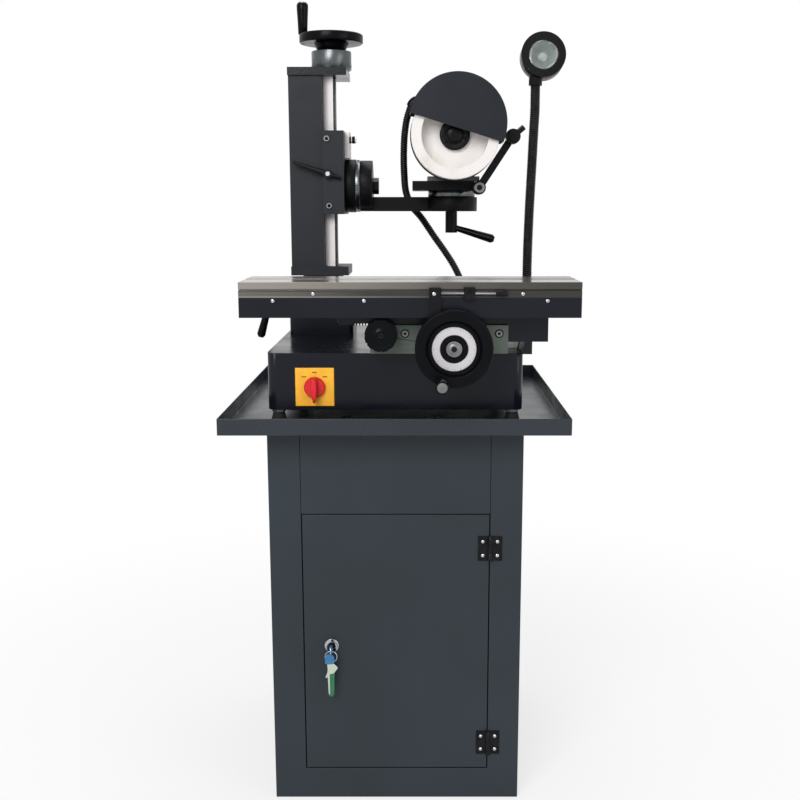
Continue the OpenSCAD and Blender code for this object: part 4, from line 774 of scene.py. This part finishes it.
screws("slide_lever_screw", [(-124, 19.7, 1071)], to_front,
       [(-0.3, 0), (-0.3, 4.2), (1, 4.2), (1.6, 3.6), (1.6, 0)], bright_steel, "slide_clamp",
       socket=1.8)
graduations("tilt_marks", [(72, 47, (0.3, 0.5, 4), 0), (12, 47, (0.3, 0.7, 6), 0)], (-73, column_y, 1051),
            (1, 0, 0), printed_black, "slide")
graduations("swivel_marks", [(72, 43, (0.3, 0.5, 4), -2.5), (12, 43, (0.3, 0.7, 7), -1)],
            (99, column_y, 1036.5), upright, printed_black, "arm")

# Wheel head: a cast alloy motor with cooling fins and a black fan grille on the swivelling
# plate, and the white cup wheel clamped by a black flange with three pin holes.
cast_alloy = Finish("cast_alloy", (0.10, 0.10, 0.105), 0.5, 0.4)
cast_alloy.bump(cast_alloy.noise(500, 3), 0.25, 0.0004)
greasy = cast_alloy.spread(cast_alloy.noise(30), 0.3, 0.7)
cast_alloy.feed("Roughness", greasy * 0.2 + 0.4)
cast_alloy.shade(greasy, 0.85, 1.1)
dress(cast_alloy, "motor_body", bevel=0.001)
dress(black_oxide, "motor_bell", bevel=0.0008)
dress(black_oxide, "wheel_flange", bevel=0.0005, segments=1)
dress(satin_black, "head_plate", bevel=0.0014)
dress(bright_steel, "spindle", bevel=0.0006)
wheel_x, wheel_z = 100.0, 1134.3
graduations("motor_fins", [(40, 61, (5, 1.8, 108), 0)], (wheel_x, 72, wheel_z), to_back, cast_alloy, "head")
grille = bmesh.new()
for r in (14, 24, 34, 44, 54):
    lathe(grille, [(0, r - 2), (0, r + 2), (1.2, r + 1.5), (1.2, r - 1.5), (0, r - 2)],
          (wheel_x, 170.6, wheel_z), to_back)
for turn in range(0, 180, 45):
    bar = slab(bmesh.new(), (-54, -2, -0.4), (54, 2, 0.8), 0.3)
    bmesh.ops.transform(bar, matrix=Matrix.Translation((wheel_x, 171.2, wheel_z)) @ Matrix.Rotation(
        math.radians(turn), 4, "Y") @ Matrix.Rotation(math.pi / 2, 4, "X"), verts=bar.verts)
    bar_mesh = bpy.data.meshes.new("bar")
    bar.to_mesh(bar_mesh)
    bar.free()
    grille.from_mesh(bar_mesh)
    bpy.data.meshes.remove(bar_mesh)
piece("fan_grille", grille, black_moulded, "head")

white_grit = Finish("white_grit", (0.82, 0.785, 0.765), 0.92, specular=0.2)
smear = white_grit.spread(white_grit.noise(22, 5), 0.45, 0.85)
white_grit.feed("Base Color", white_grit.mix(smear, white_grit.colour, (0.68, 0.64, 0.58)))
white_grit.bump(white_grit.noise(1500, 2), 0.5, 0.0005)
dress(white_grit, "grinding_wheel", bevel=0.0012)
flange_face, pin_circle = (wheel_x, -58, wheel_z), 19
cap = lathe(bmesh.new(), [(-1, 0), (-1, 11.5), (1.2, 12.6), (2.4, 12.2), (3, 11), (3, 5), (2, 4.4), (2, 0)],
            flange_face, to_front)
lathe(cap, [(-10, 13.4), (-10, 25.2), (-9.2, 25.8), (-8.6, 25.2), (-8.2, 21), (-8.6, 16), (-9.4, 13.4),
            (-10, 13.4)], flange_face, to_front, 64)
piece("flange_cap", cap, black_oxide, "rotor", 40)
pin_turns = [math.radians(a) for a in (100, 220, 340)]
holes = [(wheel_x + pin_circle * math.cos(a), -49.9, wheel_z + pin_circle * math.sin(a)) for a in pin_turns]
pin_hole = [(-0.4, 0), (-0.4, 2.6), (0.5, 2.6), (0.5, 1.6), (-0.2, 1.4), (-0.2, 0)]
screws("flange_pins", holes, to_front, pin_hole, black_moulded, "rotor")

# Wheel guard: a welded sheet-steel hood in dark grey enamel over the upper half of the wheel,
# clamped round the motor's nose.
guard_paint = sprayed_paint("guard_paint", (0.013, 0.0155, 0.0215), 0.38, 380, 0.12, 0.17)
dress(guard_paint, "wheel_guard", bevel=0.0004, segments=1)

# Tooth rest: a blackened flat bar swung on a large socket bolt in the head plate's corner,
# with a round clamp at its upper end that a small screw closes.
dress(black_oxide, "rest_rod", "rest_clamp", "rest_bolt", bevel=0.0005, segments=1)
rest_bolt_spots = [(145, -12.6, 1046.3)]
screws("rest_bolt_rim", rest_bolt_spots, to_front,
       [(-0.6, 0), (-0.6, 9.2), (0.5, 9.6), (2.6, 9.6), (3.4, 8.6), (3.4, 0)], thread_steel, "head",
       socket=5.6)
# painted shade: a black hexagon at the floor of the rest bolt's socket
screws("rest_bolt_socket", rest_bolt_spots, to_front, [(0.4, 0), (0.4, 5.4), (1.8, 5.2), (1.8, 0)],
       black_oxide, "head", sides=6)
screws("rest_clamp_socket", [(202, -21.6, 1133.3)], to_front,
       [(-0.4, 0), (-0.4, 8.6), (1.2, 8.6), (1.8, 8), (1.8, 0)], black_oxide, "rest_end",
       socket=4.0)

# Table: a ground T-slotted top with patchy oil, a painted reflection that darkens it to green-grey towards
# its right and less so on its upward faces, and a painted shadow in a thin band below the step in its front face,
# on a black cast bed. Small bright screws clamp its front edge, which carries a stop rod and dog.
table_steel = Finish("table_steel", (0.25, 0.225, 0.205), 0.4, 0.5)
scrape = table_steel.noise(1.0, 4, (12, 900, 900))
oil = table_steel.spread(table_steel.noise(9, 5, (0.5, 1, 1)), 0.35, 0.75)
along, height = table_steel.coordinate("X"), table_steel.coordinate("Z")
normal = table_steel.node("ShaderNodeNewGeometry", out="Normal")
upward = table_steel.spread(table_steel.node("ShaderNodeSeparateXYZ", {0: normal}, out="Z"), 0.7, 0.95)
strip_top, lip_top, painted_shadow_bottom = 0.8866, 0.8780, 0.8848
strip = table_steel.spread(height, strip_top, strip_top + 0.0006, 1.0, 0.0)
lip = table_steel.spread(height, lip_top, lip_top + 0.0004, 1.0, 0.0)
# painted shadow: a thin darker band just below the step in the front face
painted_groove_shadow = table_steel.spread(height, painted_shadow_bottom, painted_shadow_bottom + 0.0008) * strip
edges = strip * 0.6 - lip * 0.45 + painted_groove_shadow * 0.3
# painted reflection: the top darkens towards its right end, less on upward faces; the oil noise adds random patches
oil_bands_and_painted_light = edges + oil * 0.15 + table_steel.spread(along, -0.30, 0.30) * (0.92 - upward * 0.4)
table_steel.feed("Base Color", table_steel.mix(oil_bands_and_painted_light, table_steel.colour, (0.030, 0.031, 0.026)))
table_steel.feed("Roughness", scrape * 0.16 + oil * 0.1 + 0.3 - upward * 0.2)
table_steel.bump(scrape, 0.05, 0.0002)
dress(table_steel, "table_top", bevel=0.0008)
table_face = -280.0
front_screw = [(-0.3, 0), (-0.3, 3.2), (0.6, 3.2), (1.6, 2.6), (2, 1.6), (1.2, 1.3), (1.1, 0)]
bed_row, strip_row = 871, 881.6
front_spots = [(x, table_face, bed_row) for x in (-186, -46, 236)]
front_spots += [(x, table_face, strip_row) for x in (-124, 198)]
screws("table_screws", front_spots, to_front, front_screw, bright_steel, "table")
stop_steel = Finish("stop_steel", (0.006, 0.006, 0.0072), 0.34, specular=0.14)
along = stop_steel.coordinate("X")
rod_start, rod_end, rod_fade = 0.0724, 0.1554, 0.0004
rod = stop_steel.spread(along, rod_start, rod_start + rod_fade)
rod = rod * stop_steel.spread(along, rod_end, rod_end + rod_fade, 1.0, 0.0)
stop_steel.feed("Base Color", stop_steel.mix(rod, stop_steel.colour, (0.13, 0.12, 0.13)))
stop_steel.feed("Metallic", rod * 0.8 + 0.12)
stop_steel.feed("Roughness", stop_steel.noise(60, 4) * 0.2 + 0.22)
dress(stop_steel, "stop_post", bevel=0.0005, segments=1)
dress(black_oxide, "stop_dog", bevel=0.0005, segments=1)
screws("stop_screw", [(61.5, -291, 882.5)], to_front, front_screw, bright_steel, "cross_slide")

# Apron and traverse: a ground plate on the saddle's front with two socket screws, whose sockets and counterbores
# are drawn as black painted shade, and a fluted black knob that drives the table's rack.
apron_steel = ground_metal("apron_steel", (0.085, 0.105, 0.088), 0.45, (14, 900, 900), metal=0.5)
dress(apron_steel, "apron_plate", bevel=0.0008)
apron_spots = [(16.5, -240, 815.9), (165.5, -240, 815.9)]
# painted shade: flat black discs round the screws stand in for their counterbores
screws("apron_counterbores", apron_spots, to_front, [(-0.3, 0), (-0.3, 7), (0.15, 7), (0.15, 0)], black_oxide,
       "cross_slide", sides=32)
screws("apron_screws", apron_spots, to_front, [(-0.3, 0), (-0.3, 5.0), (1.4, 5.4), (2.2, 4.8), (2.2, 0)],
       thread_steel, "cross_slide")
# painted shade: black hexagons on the screw heads stand in for their sockets
screws("apron_sockets", apron_spots, to_front, [(1.8, 0), (1.8, 2.9), (2.3, 2.7), (2.3, 0)], black_oxide,
       "cross_slide", sides=6)
knob_centre = (-21, -270.3, 815.8)
knob_front = lathe(bmesh.new(), [(-1, 0), (-1, 24.2), (0.4, 23.6), (0.8, 22), (0.2, 20.5), (0.2, 9.5),
                                 (0.9, 8.6), (0.9, 6.2), (-0.6, 5.6), (-0.6, 0)], knob_centre, to_front, 64)
piece("knob_face", knob_front, black_moulded, "traverse", 40)
knob_bolt = lathe(bmesh.new(), [(-1, 0), (-1, 4.6), (0.2, 4.4), (0.2, 2.4), (-0.4, 2.2), (-0.4, 0)],
                  knob_centre, to_front, 6)
piece("knob_bolt", knob_bolt, black_oxide, "traverse")

# Cross feed: a dished black handwheel with a white-metal dial in its dish, a black hub, a
# steel axle end and a revolving handle, on a screw that runs in a bronze nut.
nut_bronze = Finish("nut_bronze", (0.55, 0.36, 0.14), 0.4, 1.0)
tarnish = nut_bronze.noise(40)
nut_bronze.feed("Roughness", tarnish * 0.3 + 0.25)
nut_bronze.shade(tarnish, 1.0, 0.7)
dress(nut_bronze, "feed_nut", bevel=0.0008)
feed_x, feed_z = 92.0, 800.0
feed_thread = threaded(bmesh.new(), (feed_x, -308, feed_z), to_back, 348, 7, 2, 0.6)
feed_screw = piece("feed_thread", feed_thread, thread_steel, "feed_drive", 25)
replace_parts(feed_screw, "feed_screw")
dial_metal = ground_metal("dial_metal", (0.56, 0.54, 0.56), 0.4, (300, 300, 300), 0.1, 0.6)
dial_centre = (feed_x, -305.0, feed_z)
dial = lathe(bmesh.new(), [(-0.4, 21.6), (-0.4, 33.4), (2.2, 34), (3.6, 34), (4.4, 33.2), (4.4, 22.4),
                           (3.8, 21.6), (-0.4, 21.6)], dial_centre, to_front, 72)
piece("feed_dial", dial, dial_metal, "feed_drive")
graduations("feed_marks", [(50, 31.6, (2.0, 0.3, 0.3), 4.35), (10, 31.0, (3.2, 0.4, 0.3), 4.35)],
            dial_centre, to_front, printed_black, "feed_drive")
hub = lathe(bmesh.new(), [(-0.4, 0), (-0.4, 21.4), (3.6, 21.4), (4.8, 20.4), (4.8, 14.2), (3.8, 13.4),
                          (3.8, 0)], dial_centre, to_front, 64)
piece("feed_hub", hub, black_moulded, "feed_drive")
axle = lathe(bmesh.new(), [(3, 0), (3, 12.2), (4.8, 12.2), (5.4, 11.4), (5.4, 8.4), (6.6, 8.4), (7, 7.8),
                           (7, 4.6), (4.4, 4.4), (4.4, 0)], dial_centre, to_front, 48)
piece("feed_axle", axle, thread_steel, "feed_drive")
# painted shade: a black hexagon at the floor of the axle end's hole
socket = lathe(bmesh.new(), [(4, 0), (4, 4.5), (5, 4.5), (5, 0)], dial_centre, to_front, 6)
piece("feed_socket", socket, black_oxide, "feed_drive")
handle_turn, handle_reach = math.radians(69), 53.5
handle_root = (feed_x - handle_reach * math.cos(handle_turn), -312.3,
               feed_z - handle_reach * math.sin(handle_turn))
grip("feed_grip_handle", handle_root, to_front, "feed_grip", "feed_handle")

# Lamp: a black spun shell on the gooseneck with a bright reflector, a small bulb and a
# pressed glass lens in a chromed bezel.
lamp_black = sprayed_paint("lamp_black", (0.004, 0.004, 0.0048), 0.3, 300, 0.06, 0.14)
dress(lamp_black, "lamp_head", bevel=0.0006)
lamp_centre = (242.0, -108.0, 1258.0)
lamp_tilt = math.radians(7)
lamp_axis = (0, -math.cos(lamp_tilt), math.sin(lamp_tilt))
mirror = Finish("mirror_bowl", (0.84, 0.88, 0.87), 0.12, 0.95)
spun = mirror.noise(80)
mirror.feed("Roughness", spun * 0.2 + 0.06)
mirror.shade(spun)
mirror.bump(mirror.noise(130, 1), 0.3, 0.002)
bowl = lathe(bmesh.new(), [(-10.6, 23.8), (-12.5, 23.2), (-18, 20.5), (-25, 15), (-30, 9), (-31, 5),
                           (-31.6, 5.4), (-30.6, 9.6), (-25.6, 15.8), (-18.6, 21.2), (-12.5, 23.9),
                           (-10.6, 23.8)], lamp_centre, lamp_axis, 48)
piece("lamp_reflector", bowl, mirror, "cross_slide", 60)
frost = Finish("frosted_bulb", (0.42, 0.45, 0.43), 0.25)
etched = frost.noise(60)
frost.feed("Roughness", etched * 0.2 + 0.25)
frost.shade(etched)
bulb = lathe(bmesh.new(), [(-31.5, 0), (-31.5, 4.6), (-27, 5.6), (-22, 7.4), (-18, 7.2), (-15.4, 5),
                           (-14.6, 2.4), (-14.4, 0)], lamp_centre, lamp_axis, 32)
piece("lamp_bulb", bulb, frost, "cross_slide", 60)
bezel = lathe(bmesh.new(), [(-6, 23.95), (-5.2, 22.4), (-4.2, 22.2), (-3.4, 23), (-3.6, 23.95), (-6, 23.95)],
              lamp_centre, lamp_axis, 64)
piece("lamp_bezel", bezel, lock_chrome, "cross_slide")
lens_glass = Finish("lens_glass", (0.95, 0.97, 0.97), 0.05, Transmission_Weight=1.0, IOR=1.35)
wavy = lens_glass.noise(200)
lens_glass.feed("Roughness", wavy * 0.06 + 0.02)
lens_glass.shade(wavy, 1.0, 0.95)
dress(lens_glass, "lamp_lens")
